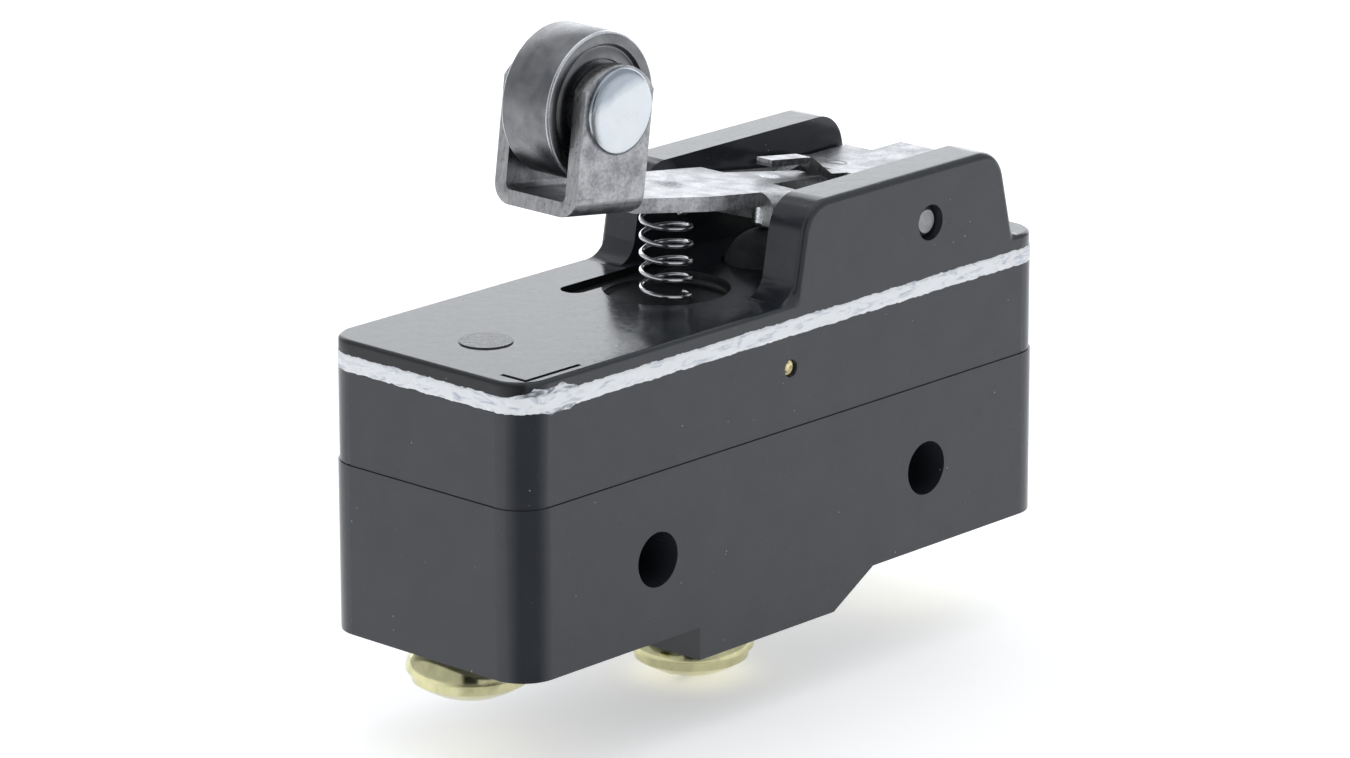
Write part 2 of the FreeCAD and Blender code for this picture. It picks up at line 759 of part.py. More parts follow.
    boss = sketch_on(body, "XY_Plane", "plate_top - sheet - boss_depth")
    draw_circle(boss, ("0 - dimple_along", "0"), "boss_radius")
    pad(body, boss, "boss_depth + arm_overlap")
    dish = body.newObject("PartDesign::SubtractiveSphere", "dimple")
    ball = "( dimple_radius * dimple_radius / dimple_depth + dimple_depth ) / 2"
    plane = next(item for item in body.Origin.OriginFeatures if item.Role == "XY_Plane")
    dish.AttachmentSupport = [(plane, "")]
    dish.MapMode = "FlatFace"
    dish.setExpression("Radius", link(ball))
    dish.setExpression("AttachmentOffset.Base.x", link("0 - dimple_along"))
    dish.setExpression("AttachmentOffset.Base.z", link(f"plate_top - dimple_depth + {ball}"))
    doc.recompute()

    pin_hole = sketch_on(body, "XZ_Plane")
    draw_circle(pin_hole, ("0", "0"), "pin_radius + running_gap")
    pocket(body, pin_hole)
    rivet_hole = sketch_on(body, "XZ_Plane")
    draw_circle(rivet_hole, roller_centre(), "rivet_radius + fit_gap")
    pocket(body, rivet_hole)
    stud_hole = sketch_on(body, "XY_Plane", "plate_top")
    draw_circle(stud_hole, ("0 - stud_along", "0"), "stud_neck")
    pocket(body, stud_hole, "sheet + arm_overlap")


def roller_centre():
    """The roller's axis in the lever's frame."""
    tilt = math.radians(size("lever_tilt"))
    along = size("roller_along") - size("pivot_along")
    height = size("roller_height") - size("pivot_height")
    return (str(along * math.cos(tilt) - height * math.sin(tilt)),
            str(along * math.sin(tilt) + height * math.cos(tilt)))


def tail_plate():
    """Stamped plate behind the pivot, with two pin lugs and a joggled tongue."""
    body = new_body("tail_plate", lever_spot())
    under = "( plate_top - tail_sheet )"
    flat = sketch_on(body, "XY_Plane", under)
    draw_outline(flat, [
        ("tail_front", "0 - tail_lug_outer"),
        ("tail_wide_start", "0 - tail_lug_outer"),
        ("tail_wide_start", "0 - tail_wide_half"),
        ("tail_bend_start + running_gap", "0 - tail_wide_half"),
        ("tail_bend_start + running_gap", "tail_wide_half"),
        ("tail_wide_start", "tail_wide_half"),
        ("tail_wide_start", "tail_lug_outer"),
        ("tail_front", "tail_lug_outer"),
    ])
    pad(body, flat, "tail_sheet")

    rise = "tan ( tail_bend )"
    wide = sketch_on(body, "XZ_Plane")
    draw_outline(wide, [
        ("tail_bend_start", under),
        ("tail_wide_end", f"{under} + ( tail_wide_end - tail_bend_start ) * {rise}"),
        ("tail_wide_end", f"plate_top + ( tail_wide_end - tail_bend_start ) * {rise}"),
        ("tail_bend_start", "plate_top"),
    ])
    pad(body, wide, "2 * tail_wide_half", symmetric=True)
    narrow = sketch_on(body, "XZ_Plane")
    draw_outline(narrow, [
        ("tail_bend_start + overshoot", f"{under} + overshoot * {rise}"),
        ("tail_length", f"{under} + ( tail_length - tail_bend_start ) * {rise}"),
        ("tail_length", f"plate_top + ( tail_length - tail_bend_start ) * {rise}"),
        ("tail_bend_start + overshoot", f"plate_top + overshoot * {rise}"),
    ])
    pad(body, narrow, "2 * tail_narrow_half", symmetric=True)

    lugs = sketch_on(body, "XZ_Plane")
    draw_outline(lugs, [
        ("tail_front", "plate_top - lug_blend"),
        ("0 - lug_front", "lug_shoulder"),
        ("0 - lug_front", "0 - lug_low"),
        ("lug_right", "0 - lug_low"),
        ("tail_bend_start - 2 * lug_blend", f"{under} + lug_blend / 2"),
        ("tail_bend_start - 2 * lug_blend", "plate_top - lug_blend"),
    ])
    pad(body, lugs, "2 * tail_lug_outer", symmetric=True)
    hollow = sketch_on(body, "XZ_Plane")
    draw_outline(hollow, [
        ("tail_front", "plate_top"),
        ("tail_front", under),
        ("tail_bend_start", under),
        ("tail_bend_start", "0 - lug_low - overshoot"),
        ("0 - lug_front - overshoot", "0 - lug_low - overshoot"),
        ("0 - lug_front - overshoot", "plate_top"),
    ])
    pocket(body, hollow, "2 * ( tail_lug_outer - tail_sheet )", symmetric=True)

    tongue = sketch_on(body, "XZ_Plane")
    high = "plate_top + tongue_rise"
    draw_outline(tongue, [
        ("tongue_root", "plate_top"),
        ("0 - tongue_ramp_foot", "plate_top"),
        ("0 - tongue_ramp_top", high),
        ("0 - tongue_tip", high),
        ("0 - tongue_tip", f"{high} - tongue_sheet"),
        ("0 - tongue_ramp_top - tongue_ramp_skew", f"{high} - tongue_sheet"),
        ("0 - tongue_ramp_foot - tongue_ramp_skew", "plate_top - tongue_sheet"),
        ("tongue_root", "plate_top - tongue_sheet"),
    ])
    pad(body, tongue, "2 * tongue_half", symmetric=True)
    margin = 2 * size("tongue_ramp_skew")
    ramp_left = -size("tongue_ramp_top") - margin
    ramp_right = -size("tongue_ramp_foot") + margin
    half = size("tongue_half")
    round_edges(body, "tongue_round", lambda edge: (
        runs_along(edge, 1) and ramp_left < edge.CenterOfMass.x < ramp_right
        and abs(edge.Length - 2 * half) < TOUCH))
    pin_hole = sketch_on(body, "XZ_Plane")
    draw_circle(pin_hole, ("0", "0"), "pin_radius + running_gap")
    pocket(body, pin_hole)


def press_stud():
    """Stud riveted into the arm that presses the plunger's boot."""
    turned("press_stud", [[
        ("0", "0 - stud_reach"),
        ("stud_radius - stud_bevel", "0 - stud_reach"),
        ("stud_radius", "0 - stud_reach + stud_bevel"),
        ("stud_radius", "plate_top - sheet"),
        ("stud_neck", "plate_top - sheet"),
        ("stud_neck", "plate_top"),
        ("0", "plate_top"),
    ]], placement(
        "pivot_along - stud_along * cos ( lever_tilt )", "0",
        "pivot_height - hole_height + stud_along * sin ( lever_tilt )",
        (0, 1, 0), size("lever_tilt")))


def roller():
    """Hardened roller with raised rims and a hub on each face."""
    half = [
        ("rivet_radius + running_gap", "roller_hub_half"),
        ("roller_hub_radius", "roller_hub_half"),
        ("roller_hub_radius", "roller_half - roller_groove_depth"),
        ("roller_groove_radius", "roller_half - roller_groove_depth"),
        ("roller_groove_radius", "roller_half"),
        ("roller_radius - roller_chamfer", "roller_half"),
        ("roller_radius", "roller_half - roller_chamfer"),
    ]
    mirrored = [(radius, f"0 - ( {height} )") for radius, height in reversed(half)]
    turned("roller", [half + mirrored],
           placement("roller_along", "0", "roller_height - hole_height", (1, 0, 0), 90.0))


def roller_rivet():
    """Rivet that is the roller's axle, with a flat head outside each ear."""
    half = [
        ("0", "yoke_half + rivet_head"),
        ("rivet_head_radius - rivet_chamfer", "yoke_half + rivet_head"),
        ("rivet_head_radius", "yoke_half + rivet_head - rivet_chamfer"),
        ("rivet_head_radius", "yoke_half"),
        ("rivet_radius", "yoke_half"),
    ]
    mirrored = [(radius, f"0 - ( {height} )") for radius, height in reversed(half)]
    turned("roller_rivet", [half + mirrored],
           placement("roller_along", "0", "roller_height - hole_height", (1, 0, 0), 90.0))


def coil_spring(label, along, low, height, radius, wire, turns):
    """A helical compression spring standing on its Z axis."""
    helix = doc.addObject("Part::Helix", f"{label}_path")
    helix.setExpression("Radius", link(radius))
    helix.setExpression("Height", link(height))
    helix.setExpression("Pitch", link(f"( {height} ) / {turns}"))
    helix.LocalCoord = "Left-handed"
    section = doc.addObject("Part::Circle", f"{label}_section")
    section.setExpression("Radius", link(wire))
    section.Placement.Rotation = FreeCAD.Rotation(FreeCAD.Vector(1, 0, 0), 90.0)
    section.setExpression("Placement.Base.x", link(radius))
    sweep = doc.addObject("Part::Sweep", label)
    sweep.Sections = [section]
    sweep.Spine = (helix, [])
    sweep.Solid = True
    sweep.Frenet = True
    doc.recompute()
    keep(sweep, label, placement(along, "0", low))


def return_spring():
    """Coil spring between the cover's seat and the arm."""
    arm_under = (
        "( pivot_height + ( pivot_along - spring_along ) * tan ( lever_tilt )"
        " + ( plate_top - sheet ) / cos ( lever_tilt ) )")
    floor = "( cover_top - spring_seat_depth )"
    lean = "spring_radius * tan ( lever_tilt )"
    coil_spring(
        "return_spring", "spring_along", f"{floor} + spring_wire + spring_gap - hole_height",
        f"{arm_under} - {floor} - 2 * spring_wire - 3 * spring_gap - {lean}",
        "spring_radius", "spring_wire", "spring_turns")


def plunger_boot():
    """Rubber boot: a dome over the plunger with a flange held under the cover."""
    body = new_body("plunger_boot", placement("plunger_along", "0", "0 - hole_height"))
    sketch = sketch_on(body, "XZ_Plane")
    centre = size("boot_centre")
    outer, inner = size("boot_radius"), size("boot_radius") - size("boot_wall")
    flange_low, flange_high = size("boot_flange_low"), size("boot_flange_high")
    flange = size("boot_flange_radius")
    corner = FreeCAD.Vector

    def dome(radius):
        middle = radius * math.sqrt(0.5)
        return Part.Arc(corner(radius, centre, 0), corner(middle, centre + middle, 0),
                        corner(0, centre + radius, 0))

    edges = [
        Part.LineSegment(corner(flange, flange_high, 0), corner(outer, flange_high, 0)),
        Part.LineSegment(corner(outer, flange_high, 0), corner(outer, centre, 0)),
        dome(outer),
        Part.LineSegment(corner(0, centre + outer, 0), corner(0, centre + inner, 0)),
        dome(inner),
        Part.LineSegment(corner(inner, centre, 0), corner(inner, flange_low, 0)),
        Part.LineSegment(corner(inner, flange_low, 0), corner(flange, flange_low, 0)),
        Part.LineSegment(corner(flange, flange_low, 0), corner(flange, flange_high, 0)),
    ]
    sketch.addGeometry(edges, False)
    feature = body.newObject("PartDesign::Revolution", "plunger_boot_turn")
    feature.Profile = sketch
    feature.ReferenceAxis = (sketch, ["V_Axis"])
    feature.Angle = 360.0
    doc.recompute()


def plunger():
    """Hollow plunger that slides in the upper case's guide."""
    turned("plunger", [[
        ("plunger_bore", "plunger_low"),
        ("plunger_radius", "plunger_low"),
        ("plunger_radius", "plunger_head_low"),
        ("plunger_head_radius", "plunger_head_low"),
        ("plunger_head_radius", "plunger_top - plunger_bevel"),
        ("plunger_face", "plunger_top"),
        ("0", "plunger_top"),
        ("0", "plunger_bore_top"),
        ("plunger_bore", "plunger_bore_top"),
    ]], placement("plunger_along", "0", "0 - hole_height"))


def plunger_pin():
    """Inner pin that carries the plunger's push to the blade."""
    turned("plunger_pin", [[
        ("0", "pin_low"),
        ("inner_pin_radius - inner_pin_bevel", "pin_low"),
        ("inner_pin_radius", "pin_low + inner_pin_bevel"),
        ("inner_pin_radius", "pin_top"),
        ("0", "pin_top"),
    ]], placement("plunger_along", "0", "0 - hole_height"))


def overtravel_spring():
    """Small coil inside the plunger that takes up the lever's overtravel."""
    coil_spring(
        "overtravel_spring", "plunger_along", "pin_top + overtravel_wire + spring_gap - hole_height",
        "plunger_bore_top - pin_top - 2 * overtravel_wire - 2 * spring_gap",
        "overtravel_radius", "overtravel_wire", "overtravel_turns")


def screw_seats():
    """Name, position, seat height and slot's angle of each terminal screw."""
    return (
        ("left", "0 - terminal_along", "0", -35.0),
        ("middle", "0 - middle_along", "0 - pedestal_depth", 18.0),
        ("right", "terminal_along", "0", 60.0),
    )


def terminal_fasteners():
    """A slotted binding screw in a deep cup washer on each of the three terminals."""
    for name, along, seat, turn in screw_seats():
        height = f"{seat} - terminal_sheet - hole_height"
        turned(f"{name}_cup_washer", [[
            ("washer_hole", "0"),
            ("washer_bore", "0"),
            ("washer_bore", "washer_skirt"),
            *cup_side(),
            ("washer_lip_radius", "0 - washer_lip"),
            ("washer_flat_radius", "0 - washer_sheet"),
            ("washer_hole", "0 - washer_sheet"),
        ]], placement(along, "0", height))
        body = turned(f"{name}_terminal_screw", [[
            ("0", "screw_shank"),
            ("screw_shank_radius - screw_point", "screw_shank"),
            ("screw_shank_radius", "screw_shank - screw_point"),
            ("screw_shank_radius", "0 - washer_sheet"),
            ("screw_flat_radius", "0 - washer_sheet"),
            ("screw_head_radius", "0 - screw_cone"),
            ("screw_head_radius", "0 - screw_head"),
            *crown(),
        ]], placement(along, "0", height, (0, 0, 1), turn))
        slot = sketch_on(body, "YZ_Plane")
        draw_outline(slot, rectangle(
            "0 - screw_slot_half", "screw_slot_half",
            "0 - screw_crown - overshoot", "0 - screw_crown + screw_slot_depth"))
        pocket(body, slot)


def cup_side():
    """Points down the bulged side of the cup washer, from its skirt to its rim."""
    points = []
    for step in range(CURVE_STEPS + 1):
        share = step / CURVE_STEPS
        swell = math.sin(math.radians(90.0 * share))
        points.append((
            f"washer_skirt_radius + ( washer_radius - washer_skirt_radius ) * {swell:.5f}",
            f"washer_skirt - ( washer_skirt + washer_rim ) * {share:.5f}"))
    return points


def crown():
    """Points over the screw's domed head, from beside its rim to its centre."""
    points = []
    for step in range(1, CURVE_STEPS + 1):
        share = 1.0 - step / CURVE_STEPS
        points.append((
            f"screw_head_radius * {share:.5f}",
            f"0 - screw_head - ( screw_crown - screw_head ) * {1.0 - share * share:.5f}"))
    return points


def terminal_plate(body, along, seat):
    """Square plate under the base with the screw's hole."""
    low = f"{seat} - terminal_sheet"
    sketch = sketch_on(body, "XY_Plane", low)
    draw_outline(sketch, rectangle(
        f"{along} - terminal_half", f"{along} + terminal_half",
        "0 - terminal_half", "terminal_half"))
    draw_circle(sketch, (along, "0"), "screw_bore")
    pad(body, sketch, "terminal_sheet")


def normally_open_terminal():
    """Left terminal; its inner arm carries the lower fixed contact."""
    body = new_body("normally_open_terminal")
    terminal_plate(body, "0 - terminal_along", "0")
    arm_top = "lower_contact_top - contact_thickness"
    left, right = "0 - upright_near - terminal_sheet", "0 - upright_near"
    strip = sketch_on(body, "XZ_Plane")
    draw_outline(strip, [
        (left, "0 - terminal_sheet"),
        (right, "0 - terminal_sheet"),
        (right, f"{arm_top} - strip"),
        ("0 - contact_along + contact_radius", f"{arm_top} - strip"),
        ("0 - contact_along + contact_radius", arm_top),
        (left, arm_top),
    ])
    pad(body, strip, "2 * terminal_strip_half", symmetric=True)


def normally_closed_terminal():
    """Right terminal; its arm runs along the wall to the upper fixed contact."""
    body = new_body("normally_closed_terminal")
    terminal_plate(body, "terminal_along", "0")
    arm_low = "( upper_contact_low + contact_thickness )"
    arm_inner, arm_outer = "closed_arm_inner", "closed_arm_outer"
    upright = sketch_on(body, "YZ_Plane", "upright_near")
    draw_outline(upright, [
        ("0 - terminal_strip_half", "0 - terminal_sheet"),
        ("terminal_strip_half", "0 - terminal_sheet"),
        ("terminal_strip_half", "pocket_floor + overshoot"),
        (arm_outer, "pocket_floor + closed_arm_inner"),
        (arm_outer, f"{arm_low} + strip"),
        (arm_inner, f"{arm_low} + strip"),
        (arm_inner, "pocket_floor + closed_arm_outer"),
        ("0 - terminal_strip_half", "pocket_floor + closed_arm_outer"),
    ])
    pad(body, upright, "terminal_sheet")
    arm = sketch_on(body, "XY_Plane", arm_low)
    end, inner_end = "0 - contact_along - contact_radius", "0 - contact_along + contact_radius"
    draw_outline(arm, [
        ("upright_near + terminal_sheet", arm_inner),
        ("upright_near + terminal_sheet", arm_outer),
        (end, arm_outer),
        (end, "0 - contact_radius"),
        (inner_end, "0 - contact_radius"),
        (inner_end, arm_inner),
    ])
    pad(body, arm, "strip")


def common_terminal():
    """Middle terminal; its strip ends in the anchor that holds the blade."""
    body = new_body("common_terminal")
    terminal_plate(body, "0 - middle_along", "0 - pedestal_depth")
    left, right = common_upright()
    floor = "cavity_floor"
    strip = sketch_on(body, "XZ_Plane")
    draw_outline(strip, [
        (left, "0 - pedestal_depth - terminal_sheet"),
        (right, "0 - pedestal_depth - terminal_sheet"),
        (right, floor),
        ("blade_pivot + terminal_sheet", floor),
        ("blade_pivot + terminal_sheet", f"{floor} + strip"),
        (left, f"{floor} + strip"),
    ])
    pad(body, strip, "2 * terminal_strip_half", symmetric=True)
    anchor = sketch_on(body, "YZ_Plane", "blade_pivot")
    draw_outline(anchor, rectangle("0 - anchor_half", "anchor_half", floor, "anchor_top"))
    draw_outline(anchor, rectangle(
        "0 - anchor_slot_half", "anchor_slot_half",
        "blade_height - anchor_slot", "blade_height + anchor_slot"))
    pad(body, anchor, "terminal_sheet")
    post = sketch_on(body, "YZ_Plane", "post_along")
    draw_outline(post, rectangle(
        "0 - post_half", "post_half", floor, "blade_height - post_drop"))
    pad(body, post, "strip")


def snap_blade():
    """Thin spring blade with a window, a tab in the anchor's slot and a rolled hinge bead."""
    body = new_body("snap_blade")
    end = "0 - contact_along - contact_radius"
    root, tab = "blade_pivot - blade_setback", "blade_pivot + blade_tab"
    flat = sketch_on(body, "XY_Plane", "blade_height - blade_sheet / 2")
    draw_outline(flat, [
        (end, "0 - blade_half + blade_corner"),
        (f"{end} + blade_corner", "0 - blade_half"),
        (root, "0 - blade_half"),
        (root, "0 - blade_tab_half"),
        (tab, "0 - blade_tab_half"),
        (tab, "blade_tab_half"),
        (root, "blade_tab_half"),
        (root, "blade_half"),
        (f"{end} + blade_corner", "blade_half"),
        (end, "blade_half - blade_corner"),
    ])
    draw_outline(flat, rectangle(
        "0 - blade_window_left", "blade_window_right",
        "0 - blade_window_half", "blade_window_half"))
    draw_circle(flat, ("0 - contact_along", "0"), "contact_stem")
    pad(body, flat, "blade_sheet")
    bead = sketch_on(body, "XZ_Plane")
    draw_circle(bead, ("blade_pivot", "blade_height"), "blade_bead")
    pad(body, bead, "2 * blade_tab_half", symmetric=True)


def toggle_spring():
    """Bowed leaf in the blade's window that makes the blade snap over."""
    strip = doc.addObject("Part::Feature", "toggle_spring")
    top, half = size("blade_height"), size("toggle_half")
    start = FreeCAD.Vector(-size("toggle_left"), -half, top)
    finish = FreeCAD.Vector(size("toggle_right"), -half, top - size("toggle_drop"))
    crown_point = (start + finish) / 2 - FreeCAD.Vector(0, 0, size("toggle_bow"))
    bow = Part.Arc(start, crown_point, finish).toShape()
    leaf = bow.extrude(FreeCAD.Vector(0, 2 * half, 0)).Faces[0]
    strip.Shape = leaf.makeOffsetShape(size("toggle_sheet"), TOUCH * TOUCH, fill=True)
    keep(strip, "toggle_spring", AT_REST)


def contacts():
    """The moving contact on the blade and the two fixed ones that it meets."""
    spot = placement("0 - contact_along", "0", "0 - hole_height")
    turned("moving_contact", [[
        ("0", "contact_low"),
        ("contact_radius - contact_bevel", "contact_low"),
        ("contact_radius", "contact_low + contact_rim"),
        ("contact_radius", "blade_height - blade_sheet / 2"),
        ("contact_stem", "blade_height - blade_sheet / 2"),
        ("contact_stem", "blade_height + blade_sheet / 2"),
        ("contact_radius", "blade_height + blade_sheet / 2"),
        ("contact_radius", "contact_high - contact_rim"),
        ("contact_radius - contact_bevel", "contact_high"),
        ("0", "contact_high"),
    ]], spot)
    for label, low in (
        ("normally_open_contact", "lower_contact_top - contact_thickness"),
        ("normally_closed_contact", "upper_contact_low"),
    ):
        turned(label, [[
            ("0", low),
            ("contact_radius - contact_rim", low),
            ("contact_radius - contact_rim", f"{low} + contact_thickness"),
            ("0", f"{low} + contact_thickness"),
        ]], spot)


def case_eyelets():
    """Small brass eyelet in each long wall of the upper case."""
    eyelets = []
    for number, across in enumerate((
        "case_width / 2 - upper_inset - eyelet_recess",
        "0 - case_width / 2 + upper_inset + eyelet_recess + eyelet_length",
    )):
        tube = []
        for name, radius in (("outer", "eyelet_radius - fit_gap"), ("inner", "eyelet_bore")):
            cylinder = doc.addObject("Part::Cylinder", f"eyelet_{name}_{number}")
            cylinder.setExpression("Radius", link(radius))
            cylinder.setExpression("Height", link("eyelet_length"))
            place(cylinder, placement("eyelet_along", across, "eyelet_height", (1, 0, 0), 90.0))
            tube.append(cylinder)
        cut = doc.addObject("Part::Cut", f"eyelet_{number}")
        cut.Base, cut.Tool = tube
        eyelets.append(cut)
    group = doc.addObject("Part::Compound", "case_eyelets")
    group.Links = eyelets
    keep(group, "case_eyelets", AT_REST)


def check_and_write():
    """Recompute, refuse any failed object or bad solid, and write one file per sub-part."""
    doc.recompute()
    failed = [item.Name for item in doc.Objects if {"Invalid", "Error"} & set(item.State)]
    if failed:
        raise RuntimeError(f"objects failed: {failed}")
    for thing in SUB_PARTS:
        if thing.Shape.isNull() or not thing.Shape.isValid() or not thing.Shape.Solids:
            raise RuntimeError(f"{thing.Label} is not a valid solid")
    os.makedirs("parts", exist_ok=True)
    for thing in SUB_PARTS:
        thing.Shape.exportStep(f"parts/{thing.Label}.step")
        box = thing.Shape.BoundBox
        print(f"{thing.Label:26s} solids {len(thing.Shape.Solids)} volume {thing.Shape.Volume:9.2f}"
              f"  x {box.XMin:7.2f} {box.XMax:7.2f}  y {box.YMin:6.2f} {box.YMax:6.2f}"
              f"  z {box.ZMin:6.2f} {box.ZMax:6.2f}")


terminal_base()
upper_case()
sealing_compound()
lever_cover()
pivot_pin()
lever_arm()
tail_plate()
press_stud()
roller()
roller_rivet()
return_spring()
plunger_boot()
plunger()
plunger_pin()
overtravel_spring()
terminal_fasteners()
normally_open_terminal()
normally_closed_terminal()
common_terminal()
snap_blade()
toggle_spring()
contacts()
case_eyelets()
check_and_write()
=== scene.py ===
"""Looks of the limit switch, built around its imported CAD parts."""
import json
import math

import bpy
from mathutils import Matrix, Vector, noise


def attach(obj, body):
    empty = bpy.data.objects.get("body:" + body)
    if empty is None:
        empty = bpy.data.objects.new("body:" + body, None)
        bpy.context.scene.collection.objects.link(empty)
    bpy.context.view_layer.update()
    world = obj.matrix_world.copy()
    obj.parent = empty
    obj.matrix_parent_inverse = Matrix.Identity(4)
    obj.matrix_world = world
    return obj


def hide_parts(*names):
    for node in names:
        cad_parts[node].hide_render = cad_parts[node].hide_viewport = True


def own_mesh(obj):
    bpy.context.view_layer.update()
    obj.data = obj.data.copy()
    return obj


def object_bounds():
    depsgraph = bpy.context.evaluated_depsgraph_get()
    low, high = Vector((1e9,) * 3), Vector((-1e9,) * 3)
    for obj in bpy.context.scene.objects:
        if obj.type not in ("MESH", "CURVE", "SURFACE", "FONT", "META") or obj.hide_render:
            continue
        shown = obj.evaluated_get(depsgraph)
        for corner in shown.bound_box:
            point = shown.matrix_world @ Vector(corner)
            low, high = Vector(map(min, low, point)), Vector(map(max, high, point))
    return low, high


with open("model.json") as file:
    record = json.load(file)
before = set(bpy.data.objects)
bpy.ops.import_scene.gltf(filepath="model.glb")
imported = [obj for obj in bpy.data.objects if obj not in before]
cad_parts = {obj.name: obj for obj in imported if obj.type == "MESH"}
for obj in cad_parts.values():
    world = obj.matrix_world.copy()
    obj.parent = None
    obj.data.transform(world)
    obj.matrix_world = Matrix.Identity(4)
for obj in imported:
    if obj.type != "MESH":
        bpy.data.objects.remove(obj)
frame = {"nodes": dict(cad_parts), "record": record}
cad_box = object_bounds()
nodes = frame["nodes"]
SLOTS = {part["node"]: part["material_slot"] for part in frame["record"]["subparts"]}
MM = 0.001


# ---------------------------------------------------------------- materials

MIX_FACTOR, MIX_A, MIX_B, MIX_COLOUR = 0, 6, 7, 2    # a Mix node's sockets for colours
NOISE_LOW, NOISE_HIGH = 0.3, 0.7                     # most of a noise lies between these


class Surface:
    """A node material whose textures are measured in millimetres on the object."""

    def __init__(self, name, **sockets):
        self.material = bpy.data.materials.new(name)
        self.material.use_nodes = True
        self.tree = self.material.node_tree
        self.shader = self.tree.nodes["Principled BSDF"]
        coordinates = self.tree.nodes.new("ShaderNodeTexCoord")
        self.spot = self.mapped(coordinates.outputs["Object"], scale=(1 / MM, 1 / MM, 1 / MM))
        for socket, value in sockets.items():
            self.shader.inputs[socket.replace("_", " ")].default_value = value

    def add(self, kind, inputs=(), **settings):
        """A new node, with its sockets fed by name or number."""
        made = self.tree.nodes.new(kind)
        for key, value in settings.items():
            setattr(made, key, value)
        for key, value in dict(inputs).items():
            self.feed(made.inputs[key], value)
        return made

    def feed(self, socket, value):
        """Link a socket to another node's output, or set it to a plain value."""
        if isinstance(value, bpy.types.NodeSocket):
            self.tree.links.new(value, socket)
        else:
            socket.default_value = value

    def mapped(self, vector, scale=(1, 1, 1), location=(0, 0, 0), turn=(0, 0, 0)):
        made = self.add("ShaderNodeMapping", {
            "Vector": vector, "Scale": scale, "Location": location, "Rotation": turn})
        return made.outputs["Vector"]

    def noise(self, scale, detail=2.0, stretch=None, turn=(0, 0, 0), distortion=0.0, roughness=0.5):
        spot = self.spot if stretch is None else self.mapped(self.spot, stretch, turn=turn)
        made = self.add("ShaderNodeTexNoise", {
            "Vector": spot, "Scale": scale, "Detail": detail,
            "Distortion": distortion, "Roughness": roughness})
        return made.outputs["Fac"]

    def cells(self, scale):
        """Distance from the nearest of many scattered points."""
        made = self.add("ShaderNodeTexVoronoi", {"Vector": self.spot, "Scale": scale})
        return made.outputs["Distance"]

    def remap(self, value, low, high, start=0.0, end=1.0):
        made = self.add("ShaderNodeMapRange", {
            "Value": value, "From Min": low, "From Max": high, "To Min": start, "To Max": end})
        return made.outputs["Result"]

    def plus(self, a, b):
        return self.add("ShaderNodeMath", {0: a, 1: b}, operation="ADD").outputs["Value"]

    def times(self, a, b):
        return self.add("ShaderNodeMath", {0: a, 1: b}, operation="MULTIPLY").outputs["Value"]

    def blend(self, factor, a, b):
        made = self.add("ShaderNodeMix", data_type="RGBA")
        self.feed(made.inputs[MIX_FACTOR], factor)
        self.feed(made.inputs[MIX_A], a)
        self.feed(made.inputs[MIX_B], b)
        return made.outputs[MIX_COLOUR]

    def mottled(self, value, low, high, under, over):
        """One colour where the value is below low, another where it is above high."""
        return self.blend(self.remap(value, low, high), under, over)

    def colour(self, value):
        self.feed(self.shader.inputs["Base Color"], value)

    def rough(self, value):
        self.feed(self.shader.inputs["Roughness"], value)

    def rough_between(self, value, smoothest, roughest):
        self.rough(self.remap(value, NOISE_LOW, NOISE_HIGH, smoothest, roughest))

    def glow(self, colour, strength):
        self.feed(self.shader.inputs["Emission Color"], colour)
        self.feed(self.shader.inputs["Emission Strength"], strength)

    def bump(self, height, depth):
        """Height from 0 to 1 stands for a real depth in millimetres."""
        made = self.add("ShaderNodeBump", {"Height": height, "Distance": depth * MM})
        normal = self.shader.inputs["Normal"]
        if normal.is_linked:
            self.tree.links.new(normal.links[0].from_socket, made.inputs["Normal"])
        self.tree.links.new(made.outputs["Normal"], normal)


def rgb(red, green, blue):
    return (red, green, blue, 1.0)


def shade(tint, share):
    """A tint darkened to a share of its brightness."""
    return rgb(*(share * c for c in tint))


def phenolic(name, gloss=0.15, tone=1.0):
    """Black moulded phenolic: glossy, with flow mottle, fine pits and pale dust."""
    darker, lighter = (0.022, 0.025, 0.031), (0.028, 0.031, 0.037)
    pale_dust = rgb(0.42, 0.42, 0.42)
    s = Surface(name, IOR=1.51)
    flow = s.noise(scale=0.35, detail=4.0)
    # A tone below 1 darkens the whole colour; the recess floors use it as painted shade.
    base = s.mottled(flow, NOISE_LOW, NOISE_HIGH, shade(darker, tone), shade(lighter, tone))
    specks = s.remap(s.cells(scale=0.9), 0.055, 0.03)
    dusty_places = s.remap(s.noise(scale=0.4, detail=1.0), 0.52, 0.6)
    dust = s.times(specks, dusty_places)
    s.colour(s.blend(s.times(dust, 0.6), base, pale_dust))
    handling = s.noise(scale=3.0, detail=5.0)
    polish = s.remap(handling, NOISE_LOW, NOISE_HIGH, gloss - 0.03, gloss + 0.05)
    s.rough(s.plus(polish, s.times(dust, 0.4)))
    s.bump(s.noise(scale=0.9, detail=3.0), depth=0.010)
    s.bump(s.noise(scale=14.0, detail=3.0), depth=0.0012)
    pits = s.remap(s.cells(scale=1.4), 0.05, 0.09)
    s.bump(pits, depth=0.012)
    return s.material


def compound():
    """White potting compound laid by hand: chalky with a few blue-grey streaks."""
    blue_grey, white = rgb(0.55, 0.59, 0.67), rgb(0.90, 0.91, 0.93)
    s = Surface("white_compound", Roughness=0.55, IOR=1.45)
    streaks = s.noise(scale=1.1, detail=6.0, stretch=(0.7, 0.7, 2.6), distortion=0.8)
    s.colour(s.mottled(streaks, 0.30, 0.47, blue_grey, white))
    s.bump(s.noise(scale=3.0, detail=5.0), depth=0.07)
    s.bump(s.noise(scale=14.0, detail=3.0), depth=0.015)
    return s.material


